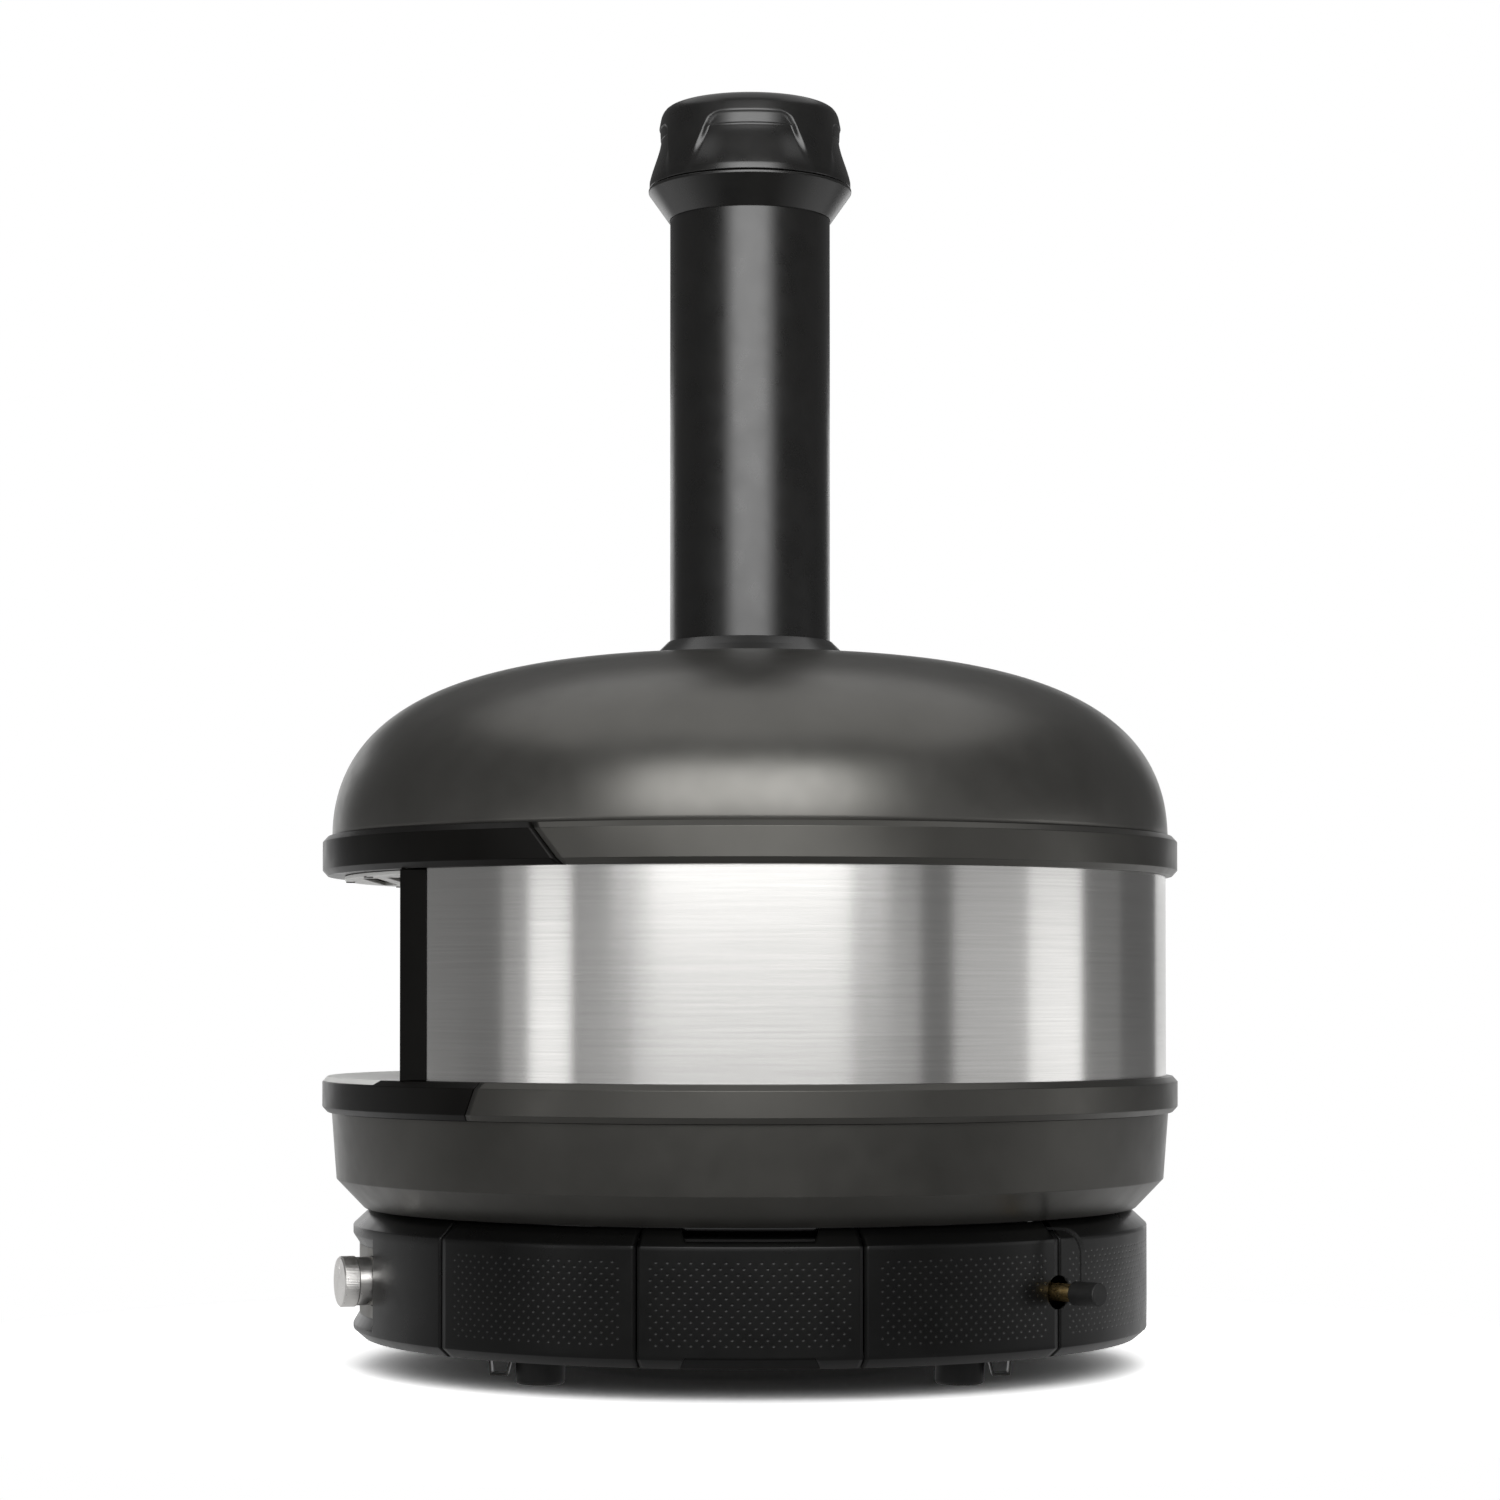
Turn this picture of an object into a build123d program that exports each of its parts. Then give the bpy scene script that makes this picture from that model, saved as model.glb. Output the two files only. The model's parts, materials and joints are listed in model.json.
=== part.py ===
from build123d import *

import math
import os

# A round gas pizza oven with a low skirted base, a steel body, a domed roof and a central flue.
# Millimetres, +Z up. The origin is on the ground under the flue, and the mouth faces -Y.
# Angles are degrees about the flue's axis, counted from +X towards +Y.

# Clearances and cutting
seat_gap = 0.2
lift_gap = 0.4
run_gap = 0.05
overrun = 4.0

# Feet and what is bolted to them
foot_radius = 18.0
foot_height = 24.5
foot_edge = 3.0
foot_setback = 62.4
foot_bolt_radius = 4.0
foot_bolt_length = 16.0
bolt_head_radius = 7.0
bolt_head_height = 5.0
strap_width = 20.0
strap_thickness = 1.5
strap_drop = 17.8
strap_start = 19.0
strap_reach = 38.0
strap_lean = 4.5

# Base skirt, pan and deck
skirt_setback = 24.0
skirt_wall = 2.0
skirt_face = 78.5
skirt_low_run = 8.0
skirt_low_rise = 7.0
skirt_top_run = 13.0
skirt_top_rise = 12.0
panel_seam = 1.2
centre_panel_half_angle = 15.0
side_panels_half_angle = 46.4
notch_top_half_width = 51.0
notch_top_depth = 8.5
notch_low_half_width = 51.5
notch_low_depth = 8.5
notch_slant = 5.0
pan_sheet = 1.5
pan_rim = 5.0
post_radius = 10.0
post_wall = 1.6
deck_drop = 7.0
deck_thickness = 2.0

# Bowl and what it stands on
spacer_radius = 12.0
spacer_height = 4.7
shield_setback = 12.0
shield_thickness = 3.3
bowl_setback = 7.2
bowl_taper = 3.8
bowl_chamfer_run = 21.0
bowl_shoulder_rise = 22.0
bowl_height = 73.0
bowl_wall = 2.0
bowl_rim_width = 17.0

# Trim rings
ring_radius = 330.0
ring_wall = 3.0
ring_edge_run = 3.8
ring_edge_rise = 4.2
lower_ring_height = 27.3
lower_ring_depth = 25.0
upper_ring_height = 30.0
upper_ring_depth = 22.0
lower_front_half_angle = 53.0
lower_front_lean = 24.0
visor_half_angle = 64.2
visor_lean = 40.0
ring_seam = 1.0
slant_block_size = 60.0
shelf_thickness = 3.5
shelf_half_angle = 33.2
shelf_lean = 30.0

# Steel band and mouth
band_setback = 9.0
band_sheet = 1.2
band_height = 153.0
band_end_angle = 46.3
mouth_setback = 77.5
lintel_height = 23.3
jamb_width = 25.8
jamb_corner = 13.0
jamb_sheet = 2.5
tunnel_sheet = 1.5
soffit_thickness = 3.0
soffit_setback = 17.0
slot_width = 12.0
slot_margin = 13.5
slot_pitch = 21.0
slot_end_margin = 2.0
slot_shortening = 21.0
soffit_screw_radius = 2.0
soffit_screw_length = 6.0
soffit_screw_head_radius = 3.5
soffit_screw_head_height = 2.0
soffit_screw_edge = 2.6
soffit_screw_angle = 24.0

# Chamber lining, floor and insulation
lining_gap = 81.0
vault_sheet = 1.5
vault_wall_rise = 108.0
vault_dome_rise = 126.0
vault_side_share = 0.58
vault_crown_share = 0.55
stone_thickness = 15.0
stone_gap = 1.0

# Flue duct inside the roof
duct_half_width = 112.0
duct_lip = 13.0
duct_end_gap = 3.8
duct_riser = 40.0
duct_riser_height = 62.0
duct_height = 34.0
duct_sheet = 1.5
duct_shoulder = 60.0

# Outer dome
dome_setback = 7.3
dome_sheet = 1.5
dome_rise = 139.2
dome_side_share = 0.56
dome_crown_share = 0.76

# Flue
flue_radius = 62.2
flue_sheet = 1.5
socket_gap = 0.3
socket_wall = 1.3
socket_rise = 13.3
socket_flare = 15.8
socket_waist = 7.8
socket_waist_rise = 7.2
dome_hole_margin = 6.0
socket_ledge = 4.0
socket_ledge_height = 2.0
duct_top_drop = 23.0
flue_rise = 350.3
collar_drop = 21.3
collar_spread = 16.8
collar_rim_lift = 0.5
collar_rim = 2.0
collar_sheet = 1.2

# Flue cap
cap_seam = 0.9
cap_height = 62.3
cap_band = 4.8
cap_taper = 10.0
cap_shoulder_run = 6.5
cap_shoulder_drop = 6.5
cap_wall = 1.2
cap_roof = 5.0
cap_spigot_depth = 16.0
cap_spigot_gap = 0.5
cap_roof_inset = 4.5
recess_depth = 9.0
recess_dish = 1.2
recess_top_drop = 17.4
recess_lip_drop = 7.6
recess_top_half_width = 32.5
recess_low_half_width = 46.0
recess_corner = 9.0
recess_waist_drop = 16.0

# Gas line, valve and knob
gas_lift = 0.75
knob_angle = -70.0
knob_radius = 19.0
knob_grip_length = 12.0
knob_neck_radius = 18.1
knob_length = 25.2
knob_reach = 20.0
knob_edge = 1.0
knob_travel = 4.0
knob_mark_width = 2.0
knob_mark_depth = 0.8
stem_radius = 4.0
stem_in_knob = 21.0
stem_length = 55.0
plunger_radius = 9.0
plunger_length = 24.0
valve_radius = 15.0
valve_floor = 5.0
valve_run_out = 3.0
bezel_margin = 6.25
bezel_half_width = 31.0
bezel_slant = 8.0
bezel_depth = 9.5
bezel_sheet = 1.5
bezel_hole = 8.0
bracket_width = 36.0
bracket_sheet = 2.0
bracket_foot = 20.0
bracket_rise = 24.0
pipe_radius = 4.0
pipe_bend = 24.0
supply_turn_share = 0.88
supply_side_share = 0.79
valve_approach = 40.0
burner_pipe_reach = 45.0

# Burner
burner_setback = 45.0
burner_radius = 9.0
burner_wall = 1.5
burner_end_gap = 8.4
burner_lift = 23.0
burner_port_radius = 2.0
burner_ports = 12
trench_depth = 17.0
guard_sheet = 1.5
guard_height = 42.0
guard_end_gap = 17.0
igniter_radius = 3.0
igniter_height = 36.0
igniter_x = 60.0

# Gas inlet
inlet_angle = 46.5
inlet_hole_radius = 12.25
nipple_radius = 6.5
nipple_reach = 33.0
nipple_bore = 3.0
nipple_bore_depth = 20.0
nipple_nut_radius = 10.5
nipple_nut_length = 8.0
nipple_depth = 30.0
cap_start = 15.0
cap_length = 23.0
cap_radius = 8.7
cap_bore_gap = 0.3
cap_end_wall = 3.0
cap_edge = 1.2
tether_reach = 22.0
tether_thickness = 1.6
tether_width = 4.5
tether_bend = 18.0
tether_tail = 62.0
tether_slot = 1.5
tether_lift = 1.2

# Radii and distances from the flue's axis
band_radius = ring_radius - band_setback
lower_ring_bore = ring_radius - lower_ring_depth
upper_ring_bore = ring_radius - upper_ring_depth
bowl_top_radius = ring_radius - bowl_setback
bowl_shoulder_radius = bowl_top_radius - bowl_taper
bowl_floor_radius = bowl_shoulder_radius - bowl_chamfer_run
shield_radius = bowl_floor_radius - shield_setback
skirt_radius = ring_radius - skirt_setback
dome_radius = ring_radius - dome_setback
foot_offset = skirt_radius / math.sqrt(2) - foot_setback
soffit_radius = ring_radius - soffit_setback
mouth_plane = ring_radius - mouth_setback
mouth_half_width = band_radius * math.cos(math.radians(band_end_angle)) - jamb_width
vault_radius = band_radius - lining_gap
slot_rear = mouth_plane + slot_margin
slot_front = slot_rear + slot_pitch
slot_rear_half_length = duct_half_width - slot_end_margin
slot_front_half_length = slot_rear_half_length - slot_shortening
duct_front = slot_front + duct_lip
duct_back = flue_radius + duct_end_gap
collar_radius = flue_radius + collar_spread
cap_shoulder_radius = collar_radius - cap_taper
cap_top_radius = cap_shoulder_radius - cap_shoulder_run
cap_roof_bore = cap_top_radius - cap_roof_inset
recess_floor_radius = collar_radius - recess_depth
recess_waist_radius = recess_floor_radius + recess_dish
socket_bore = flue_radius + socket_gap
socket_flare_radius = flue_radius + socket_flare
socket_waist_radius = flue_radius + socket_waist
burner_y = vault_radius - burner_setback
burner_half_length = math.sqrt(vault_radius ** 2 - (burner_y + burner_radius) ** 2) - burner_end_gap
trench_edge = burner_y - trench_depth
guard_face = trench_edge + seat_gap + guard_sheet
trench_half_width = math.sqrt(vault_radius ** 2 - guard_face ** 2) - guard_end_gap
knob_tip = skirt_radius + knob_reach
nipple_tip = skirt_radius + nipple_reach
nipple_root = skirt_radius - nipple_depth
cap_mouth = skirt_radius + cap_start
tether_radius = skirt_radius + tether_reach
bezel_half_height = skirt_face / 2 - bezel_margin

# Heights above the ground
base_bottom = foot_height
skirt_face_bottom = base_bottom + skirt_low_rise
skirt_face_top = skirt_face_bottom + skirt_face
skirt_top = skirt_face_top + skirt_top_rise
gas_height = (skirt_face_bottom + skirt_face_top) / 2 + gas_lift
deck_top = skirt_top - deck_drop
shield_bottom = deck_top + spacer_height
bowl_bottom = shield_bottom + shield_thickness
lower_ring_bottom = bowl_bottom + bowl_height
lower_ring_top = lower_ring_bottom + lower_ring_height
floor_top = lower_ring_top
upper_ring_bottom = lower_ring_top + band_height
upper_ring_top = upper_ring_bottom + upper_ring_height
dome_top = upper_ring_top + dome_rise
socket_top = dome_top + socket_rise
duct_top = dome_top - duct_top_drop
duct_base = duct_top - duct_height
insulation_top = floor_top - stone_thickness - seat_gap
mouth_top = upper_ring_bottom - lintel_height - seat_gap
soffit_bottom = upper_ring_bottom - seat_gap - soffit_thickness
flue_top = socket_top + flue_rise
collar_bottom = flue_top - collar_drop
collar_rim_bottom = flue_top + collar_rim_lift
collar_top = collar_rim_bottom + collar_rim
cap_bottom = collar_top + cap_seam
cap_top = cap_bottom + cap_height
pan_top = base_bottom + pan_sheet
flue_bottom = duct_top + socket_ledge_height + lift_gap
corners = {
    "front_right": (1, -1),
    "rear_right": (1, 1),
    "rear_left": (-1, 1),
    "front_left": (-1, -1),
}


def turned(points, arc=360.0, start=0.0):
    """A solid turned about the flue's axis from a closed outline of (radius, height) points."""
    outline = Polyline(*[(radius, 0, height) for radius, height in points], close=True)
    return Rot(0, 0, start) * revolve(make_face(outline), axis=Axis.Z, revolution_arc=arc)


def turned_edges(edges):
    """A solid turned about the flue's axis from edges drawn in the XZ plane."""
    return revolve(make_face(edges), axis=Axis.Z)


def at_angle(radius, angle, height=0):
    """The point at this radius and angle."""
    turn = math.radians(angle)
    return (radius * math.cos(turn), radius * math.sin(turn), height)


def facing_out(angle, distance, height):
    """A plane square to the radius at this angle, facing outwards, with its y direction up."""
    turn = math.radians(angle)
    across = (-math.sin(turn), math.cos(turn), 0)
    outward = (math.cos(turn), math.sin(turn), 0)
    return Plane(origin=at_angle(distance, angle, height), x_dir=across, z_dir=outward)


def rod(plane, radius, length):
    """A cylinder that stands on the plane."""
    return plane * Cylinder(radius, length, align=(Align.CENTER, Align.CENTER, Align.MIN))


def post(x, y, bottom, radius, height):
    """An upright cylinder."""
    return rod(Plane(origin=(x, y, bottom)), radius, height)


def block(x_range, y_range, z_range):
    """A box between two corners."""
    low = (x_range[0], y_range[0], z_range[0])
    size = [high - start for start, high in zip(low, (x_range[1], y_range[1], z_range[1]))]
    return Pos(*low) * Box(*size, align=(Align.MIN, Align.MIN, Align.MIN))


def slanted_block(radius, angle, height, lean, side, back_off=0):
    """A block on one side of a plane that crosses a ring and leans from the upright.

    side is 1 for the counterclockwise side and -1 for the other. back_off moves the plane away.
    """
    turn = math.radians(angle)
    tilt = math.radians(lean)
    across = Vector(-math.sin(turn), math.cos(turn), 0) * math.cos(tilt) + Vector(0, 0, math.sin(tilt))
    face = Plane(origin=at_angle(radius, angle, height), x_dir=at_angle(1, angle), z_dir=across * side)
    size = slant_block_size
    blank = Box(size, size + size, size, align=(Align.CENTER, Align.CENTER, Align.MIN))
    return face.offset(back_off) * blank


def skirt_radius_at(height):
    """Outer radius of the skirt at a height on its upper chamfer."""
    return skirt_radius - skirt_top_run * (height - skirt_face_top) / skirt_top_rise


def skirt_panel(start, end):
    """One sheet panel of the skirt, chamfered along its top and bottom edges."""
    outer = [
        (skirt_radius - skirt_low_run, base_bottom),
        (skirt_radius, skirt_face_bottom),
        (skirt_radius, skirt_face_top),
        (skirt_radius - skirt_top_run, skirt_top),
    ]
    inner = [(radius - skirt_wall, height) for radius, height in reversed(outer)]
    seam_angle = math.degrees(panel_seam / skirt_radius)
    return turned(outer + inner, end - start - seam_angle, start + seam_angle / 2)


def hand_notches(side):
    """The two trapezoid notches in the middle of a side, one in each chamfer."""
    top = [
        (-notch_top_half_width, skirt_top),
        (-notch_top_half_width, skirt_top + overrun),
        (notch_top_half_width, skirt_top + overrun),
        (notch_top_half_width, skirt_top),
        (notch_top_half_width - notch_slant, skirt_top - notch_top_depth),
        (notch_slant - notch_top_half_width, skirt_top - notch_top_depth),
    ]
    low = [
        (-notch_low_half_width, base_bottom),
        (-notch_low_half_width, base_bottom - overrun),
        (notch_low_half_width, base_bottom - overrun),
        (notch_low_half_width, base_bottom),
        (notch_low_half_width - notch_slant, base_bottom + notch_low_depth),
        (notch_slant - notch_low_half_width, base_bottom + notch_low_depth),
    ]
    inside = skirt_radius - skirt_top_run - skirt_wall - overrun - notch_slant
    cutters = []
    for points in (top, low):
        outline = Polyline(*[(side * inside, y, z) for y, z in points], close=True)
        depth = skirt_radius + overrun - inside
        cutters.append(extrude(make_face(outline), amount=depth, dir=(side, 0, 0)))
    return cutters


def inlet_hole():
    """The round hole that the gas nipple passes through, on the seam at the rear right."""
    inside = facing_out(inlet_angle, skirt_radius - overrun * 2, gas_height)
    return rod(inside, inlet_hole_radius, overrun * 3)


def tether_notch():
    """The slot in the skirt's upper edge that the tether's tail slides through."""
    depth = skirt_top_run + skirt_wall * 2
    plane = facing_out(inlet_angle, skirt_radius - depth, tether_height())
    low = -tether_thickness / 2 - tether_slot
    width = tether_width + tether_slot * 2
    cut = Box(width, skirt_top - deck_top, depth, align=(Align.CENTER, Align.MIN, Align.MIN))
    return plane * Pos(0, low, 0) * cut


def make_skirt():
    """Eight panels: the control panel, the rear panel and three on each side."""
    inner = centre_panel_half_angle
    outer = side_panels_half_angle
    right = skirt_panel(-inner, inner)
    left = skirt_panel(180 - inner, 180 + inner)
    for cut in hand_notches(1):
        right -= cut
    for cut in hand_notches(-1):
        left -= cut
    rear = skirt_panel(outer, 180 - outer) - inlet_hole() - tether_notch()
    rear_right = skirt_panel(inner, outer) - inlet_hole() - tether_notch()
    return {
        "skirt_control_panel": skirt_panel(outer - 180, -outer) - bezel_frustum(0),
        "skirt_rear_panel": rear,
        "skirt_right_centre": right,
        "skirt_right_front": skirt_panel(-outer, -inner),
        "skirt_right_rear": rear_right,
        "skirt_left_centre": left,
        "skirt_left_front": skirt_panel(180 + inner, 180 + outer),
        "skirt_left_rear": skirt_panel(180 - outer, 180 - inner),
    }


def make_base_pan():
    """The round pan that the feet and posts are bolted to, with a rim that follows the skirt."""
    fit = skirt_radius - skirt_wall - seat_gap
    pan = turned([
        (0, base_bottom),
        (fit - skirt_low_run, base_bottom),
        (fit, skirt_face_bottom),
        (fit, skirt_face_bottom + pan_rim),
        (fit - pan_sheet, skirt_face_bottom + pan_rim),
        (fit - pan_sheet, skirt_face_bottom + pan_sheet),
        (fit - skirt_low_run - pan_sheet, pan_top),
        (0, pan_top),
    ])
    for x_side, y_side in corners.values():
        x = x_side * foot_offset
        y = y_side * foot_offset
        pan -= post(x, y, base_bottom - overrun, foot_bolt_radius + seat_gap, overrun * 2)
    return pan


def make_foot(x_side, y_side):
    """A rubber foot with a rounded lower edge and a blind hole for its bolt."""
    x = x_side * foot_offset
    y = y_side * foot_offset
    foot = post(x, y, 0, foot_radius, foot_height)
    foot = fillet(foot.edges().group_by(Axis.Z)[0], foot_edge)
    hole_bottom = pan_top - foot_bolt_length - seat_gap
    return foot - post(x, y, hole_bottom, foot_bolt_radius + seat_gap, foot_bolt_length + overrun)


def make_foot_bolt(x_side, y_side):
    """The bolt that holds a foot under the pan."""
    x = x_side * foot_offset
    y = y_side * foot_offset
    shank = post(x, y, pan_top - foot_bolt_length, foot_bolt_radius, foot_bolt_length)
    hexagon = extrude(RegularPolygon(bolt_head_radius, 6), bolt_head_height)
    return shank + Pos(x, y, pan_top) * hexagon


def make_foot_strap(x_side, y_side):
    """A bent steel strap that hangs under the pan beside the outer face of a foot."""
    sheet = strap_thickness
    low = base_bottom - strap_drop
    outer = [
        (strap_start, base_bottom),
        (strap_start + strap_lean, low),
        (strap_reach - sheet, low),
        (strap_reach, base_bottom),
    ]
    inner = [
        (strap_reach - sheet, base_bottom),
        (strap_reach - sheet * 2, low + sheet),
        (strap_start + strap_lean + sheet, low + sheet),
        (strap_start + sheet, base_bottom),
    ]
    points = [(0, y_side * (foot_offset + y), z) for y, z in outer + inner]
    side_face = make_face(Polyline(*points, close=True))
    strap = extrude(side_face, amount=strap_width / 2, dir=(1, 0, 0), both=True)
    return Pos(x_side * foot_offset, 0, 0) * strap


def make_base_post(x_side, y_side):
    """A tube from the pan to the deck that carries the oven's weight over a foot."""
    x = x_side * foot_offset
    y = y_side * foot_offset
    height = deck_top - deck_thickness - pan_top
    return post(x, y, pan_top, post_radius, height) - post(x, y, pan_top, post_radius - post_wall, height)


def make_base_deck():
    """The round plate that closes the top of the base."""
    radius = skirt_radius_at(deck_top) - skirt_wall - seat_gap
    deck = post(0, 0, deck_top - deck_thickness, radius, deck_thickness)
    return deck - riser_hole()


def riser_hole():
    """The upright hole that the burner's pipe passes through, from the base to the chamber."""
    height = insulation_top - deck_top + overrun * 2
    return post(0, burner_y, deck_top - overrun, pipe_radius + seat_gap, height)


def make_spacer(x_side, y_side):
    """A spacer that keeps the heat shield clear of the deck."""
    return post(x_side * foot_offset, y_side * foot_offset, deck_top, spacer_radius, spacer_height)


def make_heat_shield():
    """The glossy disc under the bowl, whose edge shows as a lip."""
    return post(0, 0, shield_bottom, shield_radius, shield_thickness) - riser_hole()


def make_bowl():
    """The lower shell of the body, with a flat floor, a wide chamfer and a rim turned inwards."""
    wall = bowl_wall
    top = lower_ring_bottom
    shoulder = bowl_bottom + bowl_shoulder_rise
    bowl = turned([
        (0, bowl_bottom),
        (bowl_floor_radius, bowl_bottom),
        (bowl_shoulder_radius, shoulder),
        (bowl_top_radius, top),
        (bowl_top_radius - bowl_rim_width, top),
        (bowl_top_radius - bowl_rim_width, top - wall),
        (bowl_top_radius - wall, top - wall),
        (bowl_shoulder_radius - wall, shoulder),
        (bowl_floor_radius - wall, bowl_bottom + wall),
        (0, bowl_bottom + wall),
    ])
    return bowl - riser_hole()


def ring_outline(bottom, height, bore, top_flange):
    """The section of a trim ring: a channel that opens towards the flue."""
    radius = ring_radius
    wall = ring_wall
    run = ring_edge_run
    rise = ring_edge_rise
    top = bottom + height
    return [
        (radius - run, bottom),
        (radius, bottom + rise),
        (radius, top - rise),
        (radius - run, top),
        (bore, top),
        (bore, top - top_flange),
        (radius - wall - run / 2, top - top_flange),
        (radius - wall, top - top_flange - wall / 2),
        (radius - wall, bottom + wall + rise / 2),
        (radius - wall - run / 2, bottom + wall),
        (bore, bottom + wall),
        (bore, bottom),
    ]


def split_ring(outline, height, half_angle, lean):
    """The front and rear segments of a ring, parted by two leaning seams about the mouth."""
    margin = math.degrees(slant_block_size / ring_radius) / 2
    front = turned(outline, 2 * (half_angle + margin), -90 - half_angle - margin)
    rear = turned(outline, 360 - 2 * (half_angle - margin), -90 + half_angle - margin)
    for side in (1, -1):
        angle = -90 + side * half_angle
        front -= slanted_block(ring_radius, angle, height, side * lean, side)
        rear -= slanted_block(ring_radius, angle, height, side * lean, -side, -ring_seam)
    return front, rear


def shelf_blank():
    """The landing shelf: a plate with a chamfered round front and slanted ends."""
    bottom = floor_top - shelf_thickness
    run = ring_edge_run * shelf_thickness / ring_edge_rise
    disc = turned([
        (0, bottom),
        (ring_radius - ring_edge_run + run, bottom),
        (ring_radius - ring_edge_run, floor_top),
        (0, floor_top),
    ])
    corner_x, corner_y, _ = at_angle(ring_radius, shelf_half_angle - 90)
    lean = math.tan(math.radians(shelf_lean))
    far = ring_radius + overrun
    tip = corner_x - (far + corner_y) * lean
    inner = corner_x + (-mouth_plane - seat_gap - corner_y) * lean
    points = [
        (inner, -mouth_plane - seat_gap),
        (tip, -far),
        (-tip, -far),
        (-inner, -mouth_plane - seat_gap),
    ]
    plan = make_face(Polyline(*[(x, y, bottom) for x, y in points], close=True))
    return disc & extrude(plan, amount=shelf_thickness, dir=(0, 0, 1))


def make_lower_ring():
    """The lower ring's two segments and the landing shelf that lies in the front one."""
    top_flange = shelf_thickness + ring_wall
    outline = ring_outline(lower_ring_bottom, lower_ring_height, lower_ring_bore, top_flange)
    middle = lower_ring_bottom + lower_ring_height / 2
    front, rear = split_ring(outline, middle, lower_front_half_angle, -lower_front_lean)
    shelf = shelf_blank()
    return {"lower_ring_front": front - shelf, "lower_ring_rear": rear, "landing_shelf": shelf}


def make_upper_ring():
    """The upper ring's rear segment and the visor over the mouth."""
    outline = ring_outline(upper_ring_bottom, upper_ring_height, upper_ring_bore, ring_wall)
    middle = upper_ring_bottom + upper_ring_height / 2
    front, rear = split_ring(outline, middle, visor_half_angle, visor_lean)
    for place in soffit_screw_places():
        front -= post(*place, soffit_bottom, soffit_screw_radius, soffit_screw_length)
    return {"upper_ring_visor": front, "upper_ring_rear": rear}


def make_steel_band():
    """The brushed steel wall between the rings, open at the front."""
    outline = [
        (band_radius - band_sheet, lower_ring_top),
        (band_radius, lower_ring_top),
        (band_radius, upper_ring_bottom),
        (band_radius - band_sheet, upper_ring_bottom),
    ]
    return turned(outline, 180 + 2 * band_end_angle, -band_end_angle)


def make_jamb(side):
    """One side of the mouth frame: a folded strip from the band's end to the mouth."""
    end_x, end_y, _ = at_angle(band_radius, -band_end_angle)
    sheet = jamb_sheet
    corner = mouth_half_width + jamb_corner
    points = [
        (end_x, end_y - seat_gap),
        (corner, -mouth_plane),
        (mouth_half_width, -mouth_plane),
        (mouth_half_width, sheet - mouth_plane),
        (corner - sheet / 2, sheet - mouth_plane),
        (end_x - sheet, end_y - seat_gap),
    ]
    plan = make_face(Polyline(*[(side * x, y, floor_top) for x, y in points], close=True))
    return extrude(plan, amount=band_height - seat_gap, dir=(0, 0, 1))


def make_lintel():
    """The plate over the mouth, between the jambs."""
    half = mouth_half_width - seat_gap
    return block(
        (-half, half),
        (-mouth_plane, jamb_sheet - mouth_plane),
        (mouth_top, upper_ring_bottom - seat_gap),
    )


def vault_outline(extra):
    """The filled outline of the chamber lining, grown by extra: an upright wall and a low dome."""
    radius = vault_radius + extra
    spring = insulation_top + vault_wall_rise
    top = spring + vault_dome_rise + extra
    rise = top - spring
    base = Line((0, 0, insulation_top), (radius, 0, insulation_top))
    wall = Line((radius, 0, insulation_top), (radius, 0, spring))
    crown = Bezier(
        (radius, 0, spring),
        (radius, 0, spring + rise * vault_side_share),
        (radius * vault_crown_share, 0, top),
        (0, 0, top),
    )
    axis = Line((0, 0, top), (0, 0, insulation_top))
    return [base, wall, crown, axis]


def tunnel_block(extra, front, back, bottom):
    """The space of the mouth's throat, grown by extra on its sides and top."""
    half = mouth_half_width + extra
    return block((-half, half), (-front, -back), (bottom, mouth_top + extra))


def make_vault():
    """The steel lining of the chamber, open at the floor and at the mouth."""
    shell = turned_edges(vault_outline(vault_sheet)) - turned_edges(vault_outline(0))
    return shell - tunnel_block(tunnel_sheet + seat_gap, vault_radius + overrun * 2, 0, insulation_top)


def make_tunnel():
    """The steel throat from the mouth to the chamber: two cheeks and a roof."""
    front = mouth_plane - jamb_sheet - seat_gap
    low = floor_top + seat_gap
    shell = tunnel_block(tunnel_sheet, front, 0, low) - tunnel_block(0, front + overrun, -overrun, low)
    return shell - turned_edges(vault_outline(0))


def make_stones():
    """The baking floor: two half discs, short of the burner's trench, and the tile in the throat."""
    bottom = insulation_top + seat_gap
    radius = vault_radius - stone_gap
    disc = post(0, 0, bottom, radius, stone_thickness)
    disc -= block((-radius, radius), (trench_edge, radius), (bottom, floor_top))
    halves = {}
    for name, side in (("floor_stone_right", 1), ("floor_stone_left", -1)):
        inner = side * stone_gap / 2
        outer = side * radius
        half = block((min(inner, outer), max(inner, outer)), (-radius, radius), (bottom, floor_top))
        halves[name] = disc & half
    width = mouth_half_width - stone_gap
    throat = block((-width, width), (-mouth_plane, 0), (bottom, floor_top))
    throat -= post(0, 0, bottom, vault_radius, stone_thickness)
    halves["throat_stone"] = throat & post(0, 0, bottom, lower_ring_bore - seat_gap, stone_thickness)
    return halves


def make_floor_insulation():
    """The insulating board that fills the bowl and carries the floor and the lining."""
    gap = seat_gap
    wall = bowl_wall + gap
    under_rim = lower_ring_bottom - wall
    core = min(lower_ring_bore, bowl_top_radius - bowl_rim_width) - gap
    shoulder = bowl_bottom + bowl_shoulder_rise
    board = turned([
        (0, bowl_bottom + bowl_wall),
        (bowl_floor_radius - wall * 2, bowl_bottom + bowl_wall),
        (bowl_shoulder_radius - wall, shoulder),
        (bowl_top_radius - wall * 2, under_rim),
        (core, under_rim),
        (core, insulation_top),
        (0, insulation_top),
    ])
    return board - riser_hole()


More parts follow.
